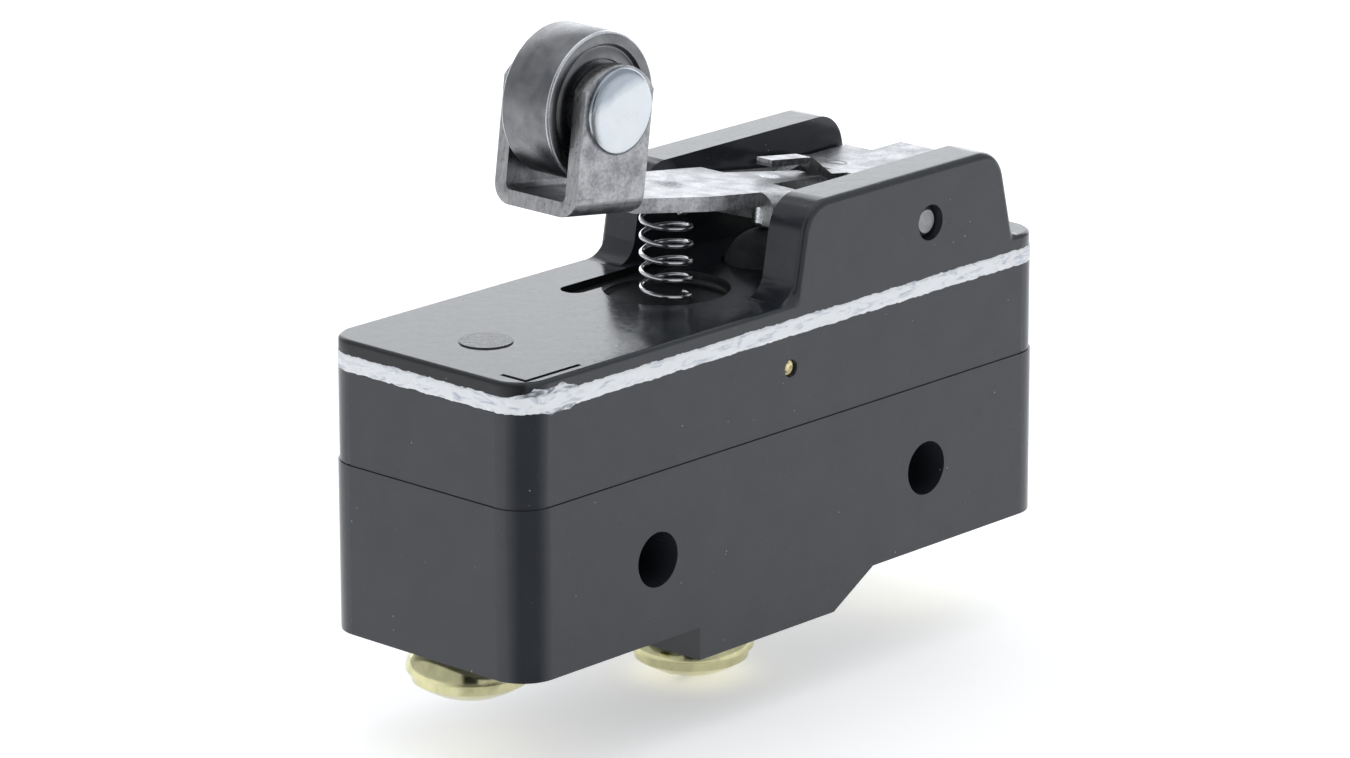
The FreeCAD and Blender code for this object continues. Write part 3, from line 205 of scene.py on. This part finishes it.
def smeared_compound():
    """Potting compound wiped thinly over the black moulding."""
    worn_through, thick = rgb(0.16, 0.17, 0.20), rgb(0.82, 0.84, 0.87)
    s = Surface("smeared_compound", Roughness=0.45, IOR=1.5)
    wiped = s.noise(scale=1.3, detail=6.0, distortion=1.2,
                    stretch=(0.5, 0.5, 1.6), turn=(0, 0.35, 0))
    s.colour(s.mottled(wiped, 0.40, 0.60, worn_through, thick))
    s.bump(wiped, depth=0.05)
    return s.material


def stamped():
    """Plated sheet steel: matt grey with a fine mottle, scuffs and rolling lines."""
    darker, lighter = rgb(0.27, 0.27, 0.285), rgb(0.56, 0.56, 0.575)
    scuffed = rgb(0.62, 0.62, 0.63)
    s = Surface("stamped_steel", Metallic=1.0)
    fine = s.noise(scale=5.0, detail=6.0, roughness=0.65)
    broad = s.noise(scale=0.8, detail=3.0)
    tone = s.plus(s.times(fine, 0.55), s.times(broad, 0.45))
    base = s.mottled(tone, 0.40, 0.60, darker, lighter)
    scuffs = s.remap(s.noise(scale=2.5, detail=2.0, stretch=(0.25, 5.0, 0.25)), 0.60, 0.66)
    s.colour(s.blend(s.times(scuffs, 0.4), base, scuffed))
    s.rough_between(fine, 0.34, 0.52)
    s.bump(s.noise(scale=9.0, detail=4.0), depth=0.006)
    s.bump(s.noise(scale=1.6, detail=2.0), depth=0.010)
    return s.material


def sheared():
    """Edge of the stamped sheet: burnished steel with fine shear lines and torn specks."""
    darker, lighter = rgb(0.26, 0.26, 0.265), rgb(0.36, 0.36, 0.365)
    torn_steel = rgb(0.14, 0.14, 0.145)
    s = Surface("sheared_steel", Metallic=1.0)
    lines = s.noise(scale=5.0, detail=3.0, stretch=(1.0, 1.0, 0.25))
    torn = s.remap(s.noise(scale=4.0, detail=4.0, distortion=0.4), 0.60, 0.68)
    base = s.mottled(lines, 0.35, 0.65, darker, lighter)
    s.colour(s.blend(s.times(torn, 0.5), base, torn_steel))
    s.rough_between(lines, 0.26, 0.36)
    s.bump(lines, depth=0.003)
    s.bump(torn, depth=0.008)
    return s.material


ROLLER_AXIS = (-10.52, 27.34)    # x and z of the roller's and the rivet's axis


def headed():
    """Polished rivet head with a painted reflection: bluish above a soft diagonal line, paler below
    it.
    """
    painted_pale_reflection, painted_bluish_reflection = rgb(0.66, 0.69, 0.72), rgb(0.38, 0.42, 0.47)
    reflection_slope, reflection_low, reflection_high = math.radians(18.6), 1.35, 2.0
    s = Surface("headed_steel_painted_reflection", Metallic=1.0)
    centred = s.mapped(s.spot, location=(-ROLLER_AXIS[0], 0, -ROLLER_AXIS[1]))
    sloped = s.mapped(centred, turn=(0, reflection_slope, 0))
    height = s.add("ShaderNodeSeparateXYZ", {"Vector": sloped}).outputs["Z"]
    waver = s.times(s.noise(scale=0.5, detail=4.0), 0.9)
    # The bluish and pale halves are a painted reflection, split by a sloping, wavering line.
    s.colour(s.mottled(s.plus(height, waver), reflection_low, reflection_high, painted_pale_reflection, painted_bluish_reflection))
    s.rough_between(s.noise(scale=1.2, detail=4.0), 0.20, 0.28)
    s.bump(s.noise(scale=1.0, detail=2.0), depth=0.006)
    return s.material


def bright(name, tint, smoothest, roughest, grain=0.004):
    """Satin metal with faint wiping marks."""
    s = Surface(name, Metallic=1.0)
    patches = s.noise(scale=0.9, detail=5.0, distortion=0.5)
    s.colour(s.mottled(patches, 0.35, 0.65, shade(tint, 0.82), rgb(*tint)))
    s.rough_between(s.noise(scale=4.0, detail=4.0), smoothest, roughest)
    s.bump(s.noise(scale=10.0, detail=3.0), depth=grain)
    return s.material


def turned_steel():
    """Hardened roller steel: dark grey with turning lines and handling marks."""
    darker, lighter = rgb(0.165, 0.165, 0.173), rgb(0.235, 0.235, 0.245)
    s = Surface("dark_steel", Metallic=1.0)
    patches = s.noise(scale=0.7, detail=5.0, distortion=0.8)
    s.colour(s.mottled(patches, 0.35, 0.65, darker, lighter))
    s.rough_between(s.noise(scale=5.0, detail=4.0), 0.26, 0.38)
    turning = s.noise(scale=1.5, detail=2.0, stretch=(0.15, 22.0, 0.15))
    s.bump(turning, depth=0.004)
    s.bump(s.noise(scale=8.0, detail=4.0), depth=0.003)
    return s.material


def rubber():
    """Matt black rubber with a faint bloom."""
    clean, bloomed = rgb(0.032, 0.032, 0.034), rgb(0.062, 0.063, 0.067)
    s = Surface("black_rubber", IOR=1.5)
    bloom = s.noise(scale=1.2, detail=5.0)
    s.colour(s.mottled(bloom, 0.35, 0.65, clean, bloomed))
    s.rough_between(bloom, 0.62, 0.78)
    s.bump(s.noise(scale=7.0, detail=4.0), depth=0.012)
    return s.material


def moulded(name, tint):
    """Plain moulded plastic for the parts inside."""
    s = Surface(name, IOR=1.5)
    s.colour(s.blend(s.noise(scale=1.5, detail=3.0), shade(tint, 0.75), rgb(*tint)))
    s.rough_between(s.noise(scale=4.0, detail=3.0), 0.4, 0.55)
    s.bump(s.noise(scale=8.0, detail=3.0), depth=0.004)
    return s.material


MATERIALS = {
    "black_phenolic": phenolic("black_phenolic"),
    "white_compound": compound(),
    "stamped_steel": stamped(),
    "bright_steel": bright("bright_steel", (0.80, 0.82, 0.85), 0.22, 0.34),
    "dark_steel": turned_steel(),
    "spring_steel": bright("spring_steel", (0.80, 0.80, 0.82), 0.12, 0.20, grain=0.002),
    "black_rubber": rubber(),
    "inner_plastic": moulded("inner_plastic", (0.40, 0.07, 0.04)),
    "yellow_brass": bright("yellow_brass", (0.70, 0.67, 0.39), 0.13, 0.20, grain=0.001),
    "terminal_brass": bright("terminal_brass", (0.88, 0.76, 0.42), 0.22, 0.36),
    "copper_alloy": bright("copper_alloy", (0.78, 0.50, 0.30), 0.22, 0.36),
    "silver_contact": bright("silver_contact", (0.86, 0.86, 0.85), 0.2, 0.3),
}
SHEARED = sheared()
SMEARED = smeared_compound()
# The rivet head's material carries a painted reflection.
HEADED_PAINTED_REFLECTION = headed()
# Recess floors: the phenolic darkened to a quarter as painted shade, and rougher.
RECESS_PAINTED_SHADE = phenolic("recess_phenolic_painted_shade", gloss=0.42, tone=0.25)
DISC = phenolic("disc_phenolic", gloss=0.27)
PIN_STEEL = bright("pin_steel", (0.34, 0.34, 0.35), 0.38, 0.55)


# ---------------------------------------------------------------- CAD nodes

OWN_LOOKS = {"pivot_pin": PIN_STEEL}
BEVELS = {
    "terminal_base": 0.03, "upper_case": 0.04, "lever_cover": 0.04,
    "lever_arm": 0.06, "tail_plate": 0.06,
}
WELD_GAP = 0.002
EDGE_ANGLE = math.radians(32)
SQUARE_ON = 0.99999        # a unit normal this long along one axis has a flat face
LARGE_FACES_WIN, ALL_FACES_COUNT = 98, 50    # a Weighted Normal modifier's weights


def bevel_edges(thing, width):
    """Slightly broken edges beside faces that stay flat."""
    edges = thing.modifiers.new("edges", "BEVEL")
    edges.width = width * MM
    edges.segments = 2
    edges.limit_method = "ANGLE"
    edges.angle_limit = EDGE_ANGLE
    edges.use_clamp_overlap = True
    edges.face_strength_mode = "FSTR_AFFECTED"
    normals = thing.modifiers.new("normals", "WEIGHTED_NORMAL")
    normals.mode = "FACE_AREA"
    normals.weight = LARGE_FACES_WIN
    normals.use_face_influence = True
    normals.keep_sharp = True


def split_edges(thing):
    """Sharp edges between smooth faces."""
    edges = thing.modifiers.new("edges", "EDGE_SPLIT")
    edges.split_angle = EDGE_ANGLE
    normals = thing.modifiers.new("normals", "WEIGHTED_NORMAL")
    normals.mode = "FACE_AREA_WITH_ANGLE"
    normals.weight = ALL_FACES_COUNT
    normals.keep_sharp = True


def finish_cad(node, material, bevel):
    """Give a CAD node its material, clean shading and, where asked, slightly broken edges."""
    thing = nodes[node]
    thing.data.materials.clear()
    thing.data.materials.append(material)
    for face in thing.data.polygons:
        face.use_smooth = not bevel or max(abs(c) for c in face.normal) < SQUARE_ON
    weld = thing.modifiers.new("weld", "WELD")
    weld.merge_threshold = WELD_GAP * MM
    if bevel:
        bevel_edges(thing, bevel)
    else:
        split_edges(thing)


for node, slot in SLOTS.items():
    finish_cad(node, OWN_LOOKS.get(node, MATERIALS[slot]), BEVELS.get(node))

# The lever's own frame: u runs along the plate from the pivot, w is square to it.
PIVOT = Vector((13.10, 0.0, 16.38))
LEVER_TILT = math.radians(8.0)
PLATE_BOTTOM, PLATE_TOP = 0.93, 1.83
YOKE_LEFT, YOKE_RIGHT = -21.9, -11.6
LUG_INSIDE = 2.0                            # the lugs lie further than this from mid-width
MOSTLY, PARTLY, BARELY = 0.9, 0.3, 0.1      # how far a unit normal points along an axis
CLEAR_OF_PLATE, IN_PLATE = 0.3, 0.1         # margins beyond the plate's two faces


def lever_frame(vector):
    """A direction or an offset from the pivot, turned into the lever's frame."""
    return Matrix.Rotation(-LEVER_TILT, 3, "Y") @ vector


def is_cut_face(middle, normal, has_lugs):
    """True for the sheared faces of the stamped sheet, which show a torn edge."""
    u, _, w = lever_frame(middle / MM - PIVOT)
    along, across, upward = (abs(c) for c in lever_frame(normal))
    if not has_lugs:
        return upward < PARTLY
    if along > MOSTLY:
        return True
    if along > PARTLY:
        on_lug = across < BARELY and abs(middle.y) > LUG_INSIDE * MM
        return on_lug or upward < BARELY
    if upward > MOSTLY:
        return not PLATE_BOTTOM - CLEAR_OF_PLATE < w < PLATE_TOP + CLEAR_OF_PLATE
    if across > MOSTLY:
        in_plate = PLATE_BOTTOM - IN_PLATE < w < PLATE_TOP + IN_PLATE
        return in_plate and not YOKE_LEFT < u < YOKE_RIGHT
    return False


def shear_edges(node, has_lugs):
    """Give the cut faces of a sheet part the torn-edge finish."""
    mesh = nodes[node].data
    mesh.materials.append(SHEARED)
    for face in mesh.polygons:
        if is_cut_face(face.center, face.normal, has_lugs):
            face.material_index = 1


shear_edges("lever_arm", has_lugs=True)
shear_edges("tail_plate", has_lugs=False)

COVER_TOP = 13.70
COVER_INSIDE = 8.0                          # the cover's recesses lie within this of mid-width
DISC_CENTRE, DISC_RADIUS = Vector((-18.8, 0.0)), 1.75
ABOVE_TOP, BELOW_TOP = 0.01, 0.05           # least height of the disc, least depth of a recess
FACES_DOWN = -0.5


def mark_cover():
    """Floors in the cover's recesses darkened with painted shade and duller, and a duller raised
    disc.
    """
    mesh = nodes["lever_cover"].data
    # The recess floors get the phenolic darkened with painted shade.
    mesh.materials.append(RECESS_PAINTED_SHADE)
    mesh.materials.append(DISC)
    for face in mesh.polygons:
        middle = face.center / MM
        on_disc = (middle.xy - DISC_CENTRE).length < DISC_RADIUS
        sunk_in_painted_shade = middle.z < COVER_TOP - BELOW_TOP and abs(middle.y) < COVER_INSIDE
        if on_disc and middle.z > COVER_TOP + ABOVE_TOP:
            face.material_index = 2
        elif sunk_in_painted_shade and face.normal.z > FACES_DOWN:
            face.material_index = 1


mark_cover()


# ---------------------------------------------------------------- detailed pieces

SHARP_ANGLE = math.radians(40)
LATHE_STEPS = 128
NEAR_AXIS = 0.0005         # a lathed profile stops this short of its axis


def place(name, data):
    """A new object in the scene."""
    made = bpy.data.objects.new(name, data)
    bpy.context.scene.collection.objects.link(made)
    return made


def piece(name, points, faces, material, body):
    """A detailed piece, in millimetres in the part's frame, that moves with a CAD body."""
    mesh = bpy.data.meshes.new(name)
    mesh.from_pydata([tuple(c * MM for c in point) for point in points], [], faces)
    mesh.materials.append(material)
    mesh.polygons.foreach_set("use_smooth", [True] * len(mesh.polygons))
    mesh.set_sharp_from_angle(angle=SHARP_ANGLE)
    made = place(name, mesh)
    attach(made, body)
    return made


def quads(rings, sides, closed=True):
    """Faces between rings of points, round a loop that closes or along an open run."""
    faces = []
    for ring in range(rings if closed else rings - 1):
        near, far = ring * sides, (ring + 1) % rings * sides
        for side in range(sides):
            after = (side + 1) % sides
            faces.append((near + side, far + side, far + after, near + after))
    return faces


def lathed(name, profile, centre, material, body):
    """A closed profile of (radius, y) turned about an axis along Y, with (x, z) as its centre."""
    points = []
    for step in range(LATHE_STEPS):
        angle = math.tau * step / LATHE_STEPS
        for radius, y in profile:
            x = centre[0] + radius * math.sin(angle)
            z = centre[1] + radius * math.cos(angle)
            points.append((x, y, z))
    faces = [face[::-1] for face in quads(LATHE_STEPS, len(profile))]
    return piece(name, points, faces, material, body)


def mirrored(half):
    """A profile's near half, out from the axis, closed by the same half on the far side."""
    return half + [(radius, -y) for radius, y in reversed(half)]


ROLLER_BORE, ROLLER_EDGE, ROLLER_RADIUS = 1.45, 4.60, 4.76
HUB_FACE, RIM_FACE = -2.36, -2.00
ROLLER_PROFILE = mirrored([
    (ROLLER_BORE, HUB_FACE), (2.55, HUB_FACE), (2.66, -2.28),            # hub
    (2.70, -1.74), (2.94, -1.70), (3.00, -1.80), (3.56, -1.80),          # step round the hub
    (3.64, -1.74), (3.80, -1.74), (3.90, -1.88), (3.96, -1.98),          # groove inside the rim
    (4.02, RIM_FACE), (ROLLER_EDGE, RIM_FACE),                           # rim
    (4.66, -1.98), (4.72, -1.93), (ROLLER_RADIUS, -1.85),                # rounded outer edge
])
RIVET_SHANK, RIVET_HEAD = 1.40, 2.75
RIVET_PROFILE = mirrored([
    (NEAR_AXIS, -3.95), (1.30, -3.945), (2.10, -3.93), (2.45, -3.90),    # crown of the head
    (2.60, -3.85), (2.70, -3.76), (2.745, -3.64),                        # its rounded edge
    (RIVET_HEAD, -3.50), (RIVET_SHANK, -3.495),
])


def turned_roller():
    """Dark roller whose rounded outer edges are given bright steel as a painted highlight."""
    roller = lathed("turned_roller", ROLLER_PROFILE, ROLLER_AXIS,
                    MATERIALS["dark_steel"], "roller")
    roller.data.materials.append(MATERIALS["bright_steel"])
    axis = Vector((ROLLER_AXIS[0], 0, ROLLER_AXIS[1]))
    # Bright steel on the rounded outer edges is a painted highlight.
    for face in roller.data.polygons:
        reach = (face.center / MM - axis).xz.length
        if ROLLER_EDGE < reach < ROLLER_RADIUS - 0.01 and abs(face.normal.y) > BARELY:
            face.material_index = 1
    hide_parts("roller")


def headed_rivet():
    rivet = lathed("headed_rivet", RIVET_PROFILE, ROLLER_AXIS, HEADED_PAINTED_REFLECTION, "lever")
    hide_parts("roller_rivet")


turned_roller()
headed_rivet()

EYELET_AXIS = (-0.31, 9.60)
EYELET_RADIUS, EYELET_END = 0.555, -6.80
EYELET_PROFILE = [
    (NEAR_AXIS, -8.26), (0.22, -8.27), (0.30, -8.30), (0.36, -8.36),     # dished middle
    (0.44, -8.375), (0.52, -8.35), (EYELET_RADIUS, -8.28),               # rolled rim
    (EYELET_RADIUS, EYELET_END), (NEAR_AXIS, EYELET_END),
]


def eyelets():
    """A small brass eyelet in each side of the case, mirror images of each other."""
    for eyelet_name, side in (("near_eyelet", 1), ("far_eyelet", -1)):
        profile = [(radius, side * y) for radius, y in EYELET_PROFILE][::side]
        eyelet = lathed(eyelet_name, profile, EYELET_AXIS,
                        MATERIALS["terminal_brass"], "case")
        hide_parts("case_eyelets")


eyelets()

MARK_CENTRE = Vector((16.35, 2.4, 17.77))
MARK_RADIUS, MARK_WIRE = 0.7, 0.045
MARK_RINGS, MARK_SIDES = 48, 6


def punch_mark():
    """Small raised ring on the tail plate."""
    tilt = Matrix.Rotation(LEVER_TILT, 3, "Y")
    points = []
    for ring in range(MARK_RINGS):
        angle = math.tau * ring / MARK_RINGS
        for side in range(MARK_SIDES):
            bend = math.tau * side / MARK_SIDES
            reach = MARK_RADIUS + MARK_WIRE * math.cos(bend)
            rise = MARK_WIRE * math.sin(bend)
            spot = Vector((reach * math.cos(angle), reach * math.sin(angle), rise))
            points.append(MARK_CENTRE + tilt @ spot)
    faces = quads(MARK_RINGS, MARK_SIDES)
    piece("tail_plate_mark", points, faces, SHEARED, "lever")


punch_mark()

# The soft pieces, as copies of their CAD nodes:
# (CAD node, piece, body, height that stays fixed, share of the length kept).
SOFT = [
    ("return_spring", "lever_spring", "case", 12.93, 0.59),
    ("plunger_boot", "rubber_boot", "case", 11.85, 0.69),
    ("overtravel_spring", "inner_spring", "plunger", 13.27, 0.62),
]
for node, name, body, fixed_height, kept in SOFT:
    soft = place(name, nodes[node].data.copy())
    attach(soft, body)
    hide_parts(node)
    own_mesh(soft)


# ---------------------------------------------------------------- potting compound

# The potting band follows the case's rounded outline; offsets are outward from it.
BAND_HALF = (24.42, 8.545)
BAND_CORNER = 2.22
BAND_STEP = 0.12
BAND_LOW, BAND_HIGH = 11.78, 12.75
BAND_ROOT, BAND_TUCK = -0.6, -0.02          # offsets of its hidden side and of its lips' feet
BAND_SEAT = 0.02                            # gap to the mouldings below and above
BULGE_SHARES = (0.25, 0.45, 0.65, 0.85)     # places up its outer face
BULGE, BULGE_WAVE = 0.09, 0.045             # offset of the outer face and its unevenness
BULGE_SEED, BULGE_SEED_STEP, BULGE_SCALE = 30.0, 4.0, 2.5
LIP_DROP, BROW_RISE = 0.07, 0.03            # overlap on the case below and the cover above
# Unevenness in layers: (amount, seed, waves per millimetre).
LIP_WAVES = [(0.06, 3.0, 0.9), (0.05, 9.0, 3.0)]
BROW_WAVES = [(0.07, 15.0, 1.1), (0.06, 21.0, 3.5)]
OCTAVES = 4


def outline():
    """Points (x, y, outward x, outward y) around the case, anticlockwise from near-left."""
    flat_x, flat_y = BAND_HALF[0] - BAND_CORNER, BAND_HALF[1] - BAND_CORNER
    corners = [(-flat_x, -flat_y, 180), (flat_x, -flat_y, 270),
               (flat_x, flat_y, 0), (-flat_x, flat_y, 90)]
    lengths = [2 * flat_x, 2 * flat_y, 2 * flat_x, 2 * flat_y]
    arc_steps = round(BAND_CORNER * math.pi / 2 / BAND_STEP)
    made = []
    for (centre_x, centre_y, start), length in zip(corners, lengths):
        for k in range(arc_steps):
            angle = math.radians(start + 90 * k / arc_steps)
            out_x, out_y = math.cos(angle), math.sin(angle)
            x = centre_x + BAND_CORNER * out_x
            y = centre_y + BAND_CORNER * out_y
            made.append((x, y, out_x, out_y))
        end = math.radians(start + 90)
        out_x, out_y = math.cos(end), math.sin(end)
        side_steps = round(length / BAND_STEP)
        for k in range(side_steps):
            run = length * k / side_steps
            x = centre_x + BAND_CORNER * out_x - out_y * run
            y = centre_y + BAND_CORNER * out_y + out_x * run
            made.append((x, y, out_x, out_y))
    return made


def wander(x, y, seed, scale):
    """Smooth irregularity from -1 to 1 along the outline."""
    spot = Vector((x * scale, y * scale, seed))
    return noise.fractal(spot, 1.0, 2.0, OCTAVES, noise_basis="PERLIN_ORIGINAL")


def waves(x, y, layers):
    return sum(amount * wander(x, y, seed, scale) for amount, seed, scale in layers)


def band_section(x, y):
    """One cut through the band: (outward offset, height) from its lower inner corner round."""
    lip = BAND_LOW - LIP_DROP - waves(x, y, LIP_WAVES)
    brow = BAND_HIGH + BROW_RISE + waves(x, y, BROW_WAVES)
    floor_level, roof_level = BAND_LOW + BAND_SEAT, BAND_HIGH - BAND_SEAT
    section = [(BAND_ROOT, floor_level), (BAND_TUCK, floor_level)]
    section += [(0.06, lip - 0.01), (0.095, lip + 0.03)]
    for share in BULGE_SHARES:
        seed = BULGE_SEED + BULGE_SEED_STEP * share
        bulge = BULGE + BULGE_WAVE * wander(x, y, seed, BULGE_SCALE)
        section.append((bulge, lip + (brow - lip) * share))
    section += [(0.055, brow - 0.02), (0.035, brow)]
    section += [(BAND_TUCK, roof_level), (BAND_ROOT, roof_level)]
    return section


def potting_band():
    """The uneven white band of compound between the upper case and the cover."""
    points = []
    around_case = outline()
    for x, y, out_x, out_y in around_case:
        section = band_section(x, y)
        points += [(x + out_x * offset, y + out_y * offset, height) for offset, height in section]
    faces = quads(len(around_case), len(section))
    band = piece("potting_band", points, faces,
                 MATERIALS["white_compound"], "case")
    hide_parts("sealing_compound")


SMEAR_LIMIT = -5.0         # y where a smear that turns the corner onto the left side ends
SMEAR_ROWS = 6
SMEAR_TUCK = 0.015         # how far a smear's upper and lower edges thin down
SMEAR_HEIGHT, SMEAR_WAVE, SMEAR_SCALE = 0.82, 0.30, 1.6
SMEAR_GROWS, SMEAR_SHRINKS = 4.0, 5.0       # its height comes and goes in 1/4 and 1/5 of it


def smear(name, start, end, foot, peak, offset, seed):
    """A thin wiped patch on the near side between two places along X, tapering at both ends."""
    near_side = [p for p in outline() if start < p[0] < end and p[1] < SMEAR_LIMIT]
    points = []
    for x, y, out_x, out_y in near_side:
        share = (x - start) / (end - start)
        taper = min(1.0, SMEAR_GROWS * share, SMEAR_SHRINKS * (1.0 - share))
        uneven = SMEAR_HEIGHT + SMEAR_WAVE * wander(x, y, seed, SMEAR_SCALE)
        top = foot + (peak - foot) * taper * uneven
        section = []
        for row in range(SMEAR_ROWS):
            rise = offset if 0 < row < SMEAR_ROWS - 1 else offset - SMEAR_TUCK
            section.append((rise, foot + (top - foot) * row / (SMEAR_ROWS - 1)))
        section += [(0.0, top), (0.0, foot)]
        points += [(x + out_x * rise, y + out_y * rise, height) for rise, height in section]
    count = len(section)
    first_end = tuple(range(count))
    last_end = tuple(reversed(range(len(points) - count, len(points))))
    faces = [first_end, last_end] + quads(len(near_side), count, closed=False)
    piece(name, points, faces, SMEARED, "case")


potting_band()
smear("upper_smear", start=-24.45, end=-19.4, foot=12.70, peak=13.32, offset=0.055, seed=5.0)
smear("lower_smear", start=-22.9, end=-19.7, foot=11.82, peak=11.44, offset=0.105, seed=8.0)


# ---------------------------------------------------------------- setting

COOL_WHITE = rgb(0.935, 0.965, 1.0)
WHITE, BLACK = rgb(1.0, 1.0, 1.0), rgb(0.0, 0.0, 0.0)
NEAR_BLACK = rgb(0.01, 0.01, 0.01)
OBJECT_BOTTOM = cad_box[0][2]
FLOOR_SIZE = 12.0
FLOOR_GLOW, WORLD_GLOW, BACK_GLOW, OVERHEAD_WATTS = 0.42, 0.64, 0.97, 2.2


def aimed(spot, target):
    """The turn that points -Z, the way that cameras, lights and cards look, at a target."""
    return (Vector(target) - Vector(spot)).to_track_quat("-Z", "Y")


def plane(name, size, spot):
    mesh = bpy.data.meshes.new(name)
    half_x, half_y = size[0] / 2, size[1] / 2
    corners = [(-half_x, -half_y, 0), (half_x, -half_y, 0),
               (half_x, half_y, 0), (-half_x, half_y, 0)]
    mesh.from_pydata(corners, [], [(0, 1, 2, 3)])
    made = place(name, mesh)
    made.location = spot
    return made


def floor():
    """A plain pale floor just under the object, lit a little from within."""
    made = plane("floor", (FLOOR_SIZE, FLOOR_SIZE), (0, 0, OBJECT_BOTTOM - 0.02 * MM))
    paper, pale_paper = rgb(0.965, 0.965, 0.967), rgb(0.98, 0.98, 0.982)
    s = Surface("pale_floor", Roughness=0.9, IOR=1.3)
    s.colour(s.blend(s.noise(scale=0.01, detail=2.0), paper, pale_paper))
    s.glow(WHITE, FLOOR_GLOW)
    made.data.materials.append(s.material)


FAN_APEX = Vector((-24.6, -8.7)) * MM       # beside the case's near-left corner
FAN_START, FAN_REACH = 0.010, 0.6           # metres from the apex
FAN_MIDDLE, FAN_HALF = 240.0, 68.0          # degrees round from +X, and to each side
FAN_CORE = 0.45                             # share of the half that is evenly dark
FAN_DARK, FAN_PALE = 0.22, 1.0
FAN_STEPS = 32


def dark_fan():
    """A soft dark fan on the floor, seen only in glossy reflections of the near-left corner."""
    level = OBJECT_BOTTOM - 0.01 * MM
    points, shares = [], []
    for k in range(FAN_STEPS + 1):
        share = 2 * k / FAN_STEPS - 1
        angle = math.radians(FAN_MIDDLE + FAN_HALF * share)
        for distance in (FAN_START, FAN_REACH):
            x = FAN_APEX.x + distance * math.cos(angle)
            y = FAN_APEX.y + distance * math.sin(angle)
            points.append((x, y, level))
            shares.append(abs(share))
    faces = [(2 * k, 2 * k + 1, 2 * k + 3, 2 * k + 2) for k in range(FAN_STEPS)]
    mesh = bpy.data.meshes.new("dark_fan")
    mesh.from_pydata(points, [], faces)
    edge = mesh.attributes.new("edge", "FLOAT", "POINT")
    edge.data.foreach_set("value", shares)
    s = Surface("dark_card", Roughness=1.0, Specular_IOR_Level=0.0)
    s.colour(BLACK)
    spread = s.add("ShaderNodeAttribute", attribute_name="edge").outputs["Fac"]
    s.glow(COOL_WHITE, s.remap(spread, FAN_CORE, 1.0, FAN_DARK, FAN_PALE))
    mesh.materials.append(s.material)
    made = place("dark_fan", mesh)
    made.visible_camera = False
    made.visible_diffuse = False
    made.visible_shadow = False


def area_light(name, spot, target, size, power):
    data = bpy.data.lights.new(name, "AREA")
    data.shape = "RECTANGLE"
    data.size, data.size_y = size
    data.energy = power
    made = place(name, data)
    made.location = spot
    made.rotation_euler = aimed(spot, target).to_euler()


def card(name, spot, target, size, colour, emission):
    """A studio card that shows only in reflections and light."""
    made = plane(name, size, spot)
    made.rotation_euler = aimed(spot, target).to_euler()
    s = Surface(name, Roughness=1.0, Specular_IOR_Level=0.0)
    s.colour(colour)
    s.glow(COOL_WHITE, emission)
    made.data.materials.append(s.material)
    made.visible_camera = False


def around(azimuth, elevation, distance):
    """A point that far from the origin, on the side that a camera of this azimuth stands on."""
    a, e = math.radians(azimuth), math.radians(elevation)
    return (-math.sin(a) * math.cos(e) * distance,
            -math.cos(a) * math.cos(e) * distance,
            math.sin(e) * distance)


def studio():
    """Even light all round, a bright card behind, a dark one at the camera, a light above."""
    world = bpy.data.worlds.new("studio")
    world.use_nodes = True
    back = world.node_tree.nodes["Background"]
    back.inputs["Color"].default_value = COOL_WHITE
    back.inputs["Strength"].default_value = WORLD_GLOW
    bpy.context.scene.world = world
    centre = (0, 0, 0.01)
    card("back_card", around(azimuth=227, elevation=16, distance=1.6), centre,
         size=(2.6, 1.4), colour=WHITE, emission=BACK_GLOW)
    card("camera_card", around(azimuth=47, elevation=22, distance=1.3), centre,
         size=(0.62, 1.1), colour=NEAR_BLACK, emission=0.0)
    area_light("overhead", (0.1, 0.1, 1.2), centre, size=(1.4, 1.4), power=OVERHEAD_WATTS)


CAMERA_SPOT = Vector((-281.35, -260.90, 123.20)) * MM
CAMERA_TARGET = Vector((-0.32, 1.35, 6.87)) * MM
CAMERA_ROLL = math.radians(-0.169)
CAMERA_LENS, CAMERA_SENSOR = 167.2, 36.0
CAMERA_NEAREST = 0.01


def camera():
    data = bpy.data.cameras.new("camera")
    data.sensor_width = CAMERA_SENSOR
    data.lens = CAMERA_LENS
    data.clip_start = CAMERA_NEAREST
    made = place("camera", data)
    made.location = CAMERA_SPOT
    turn = aimed(CAMERA_SPOT, CAMERA_TARGET).to_matrix()
    made.rotation_euler = (turn @ Matrix.Rotation(CAMERA_ROLL, 3, "Z")).to_euler()
    bpy.context.scene.camera = made


floor()
dark_fan()
studio()
camera()
bpy.context.scene.view_settings.view_transform = "Standard"

bpy.context.view_layer.update()
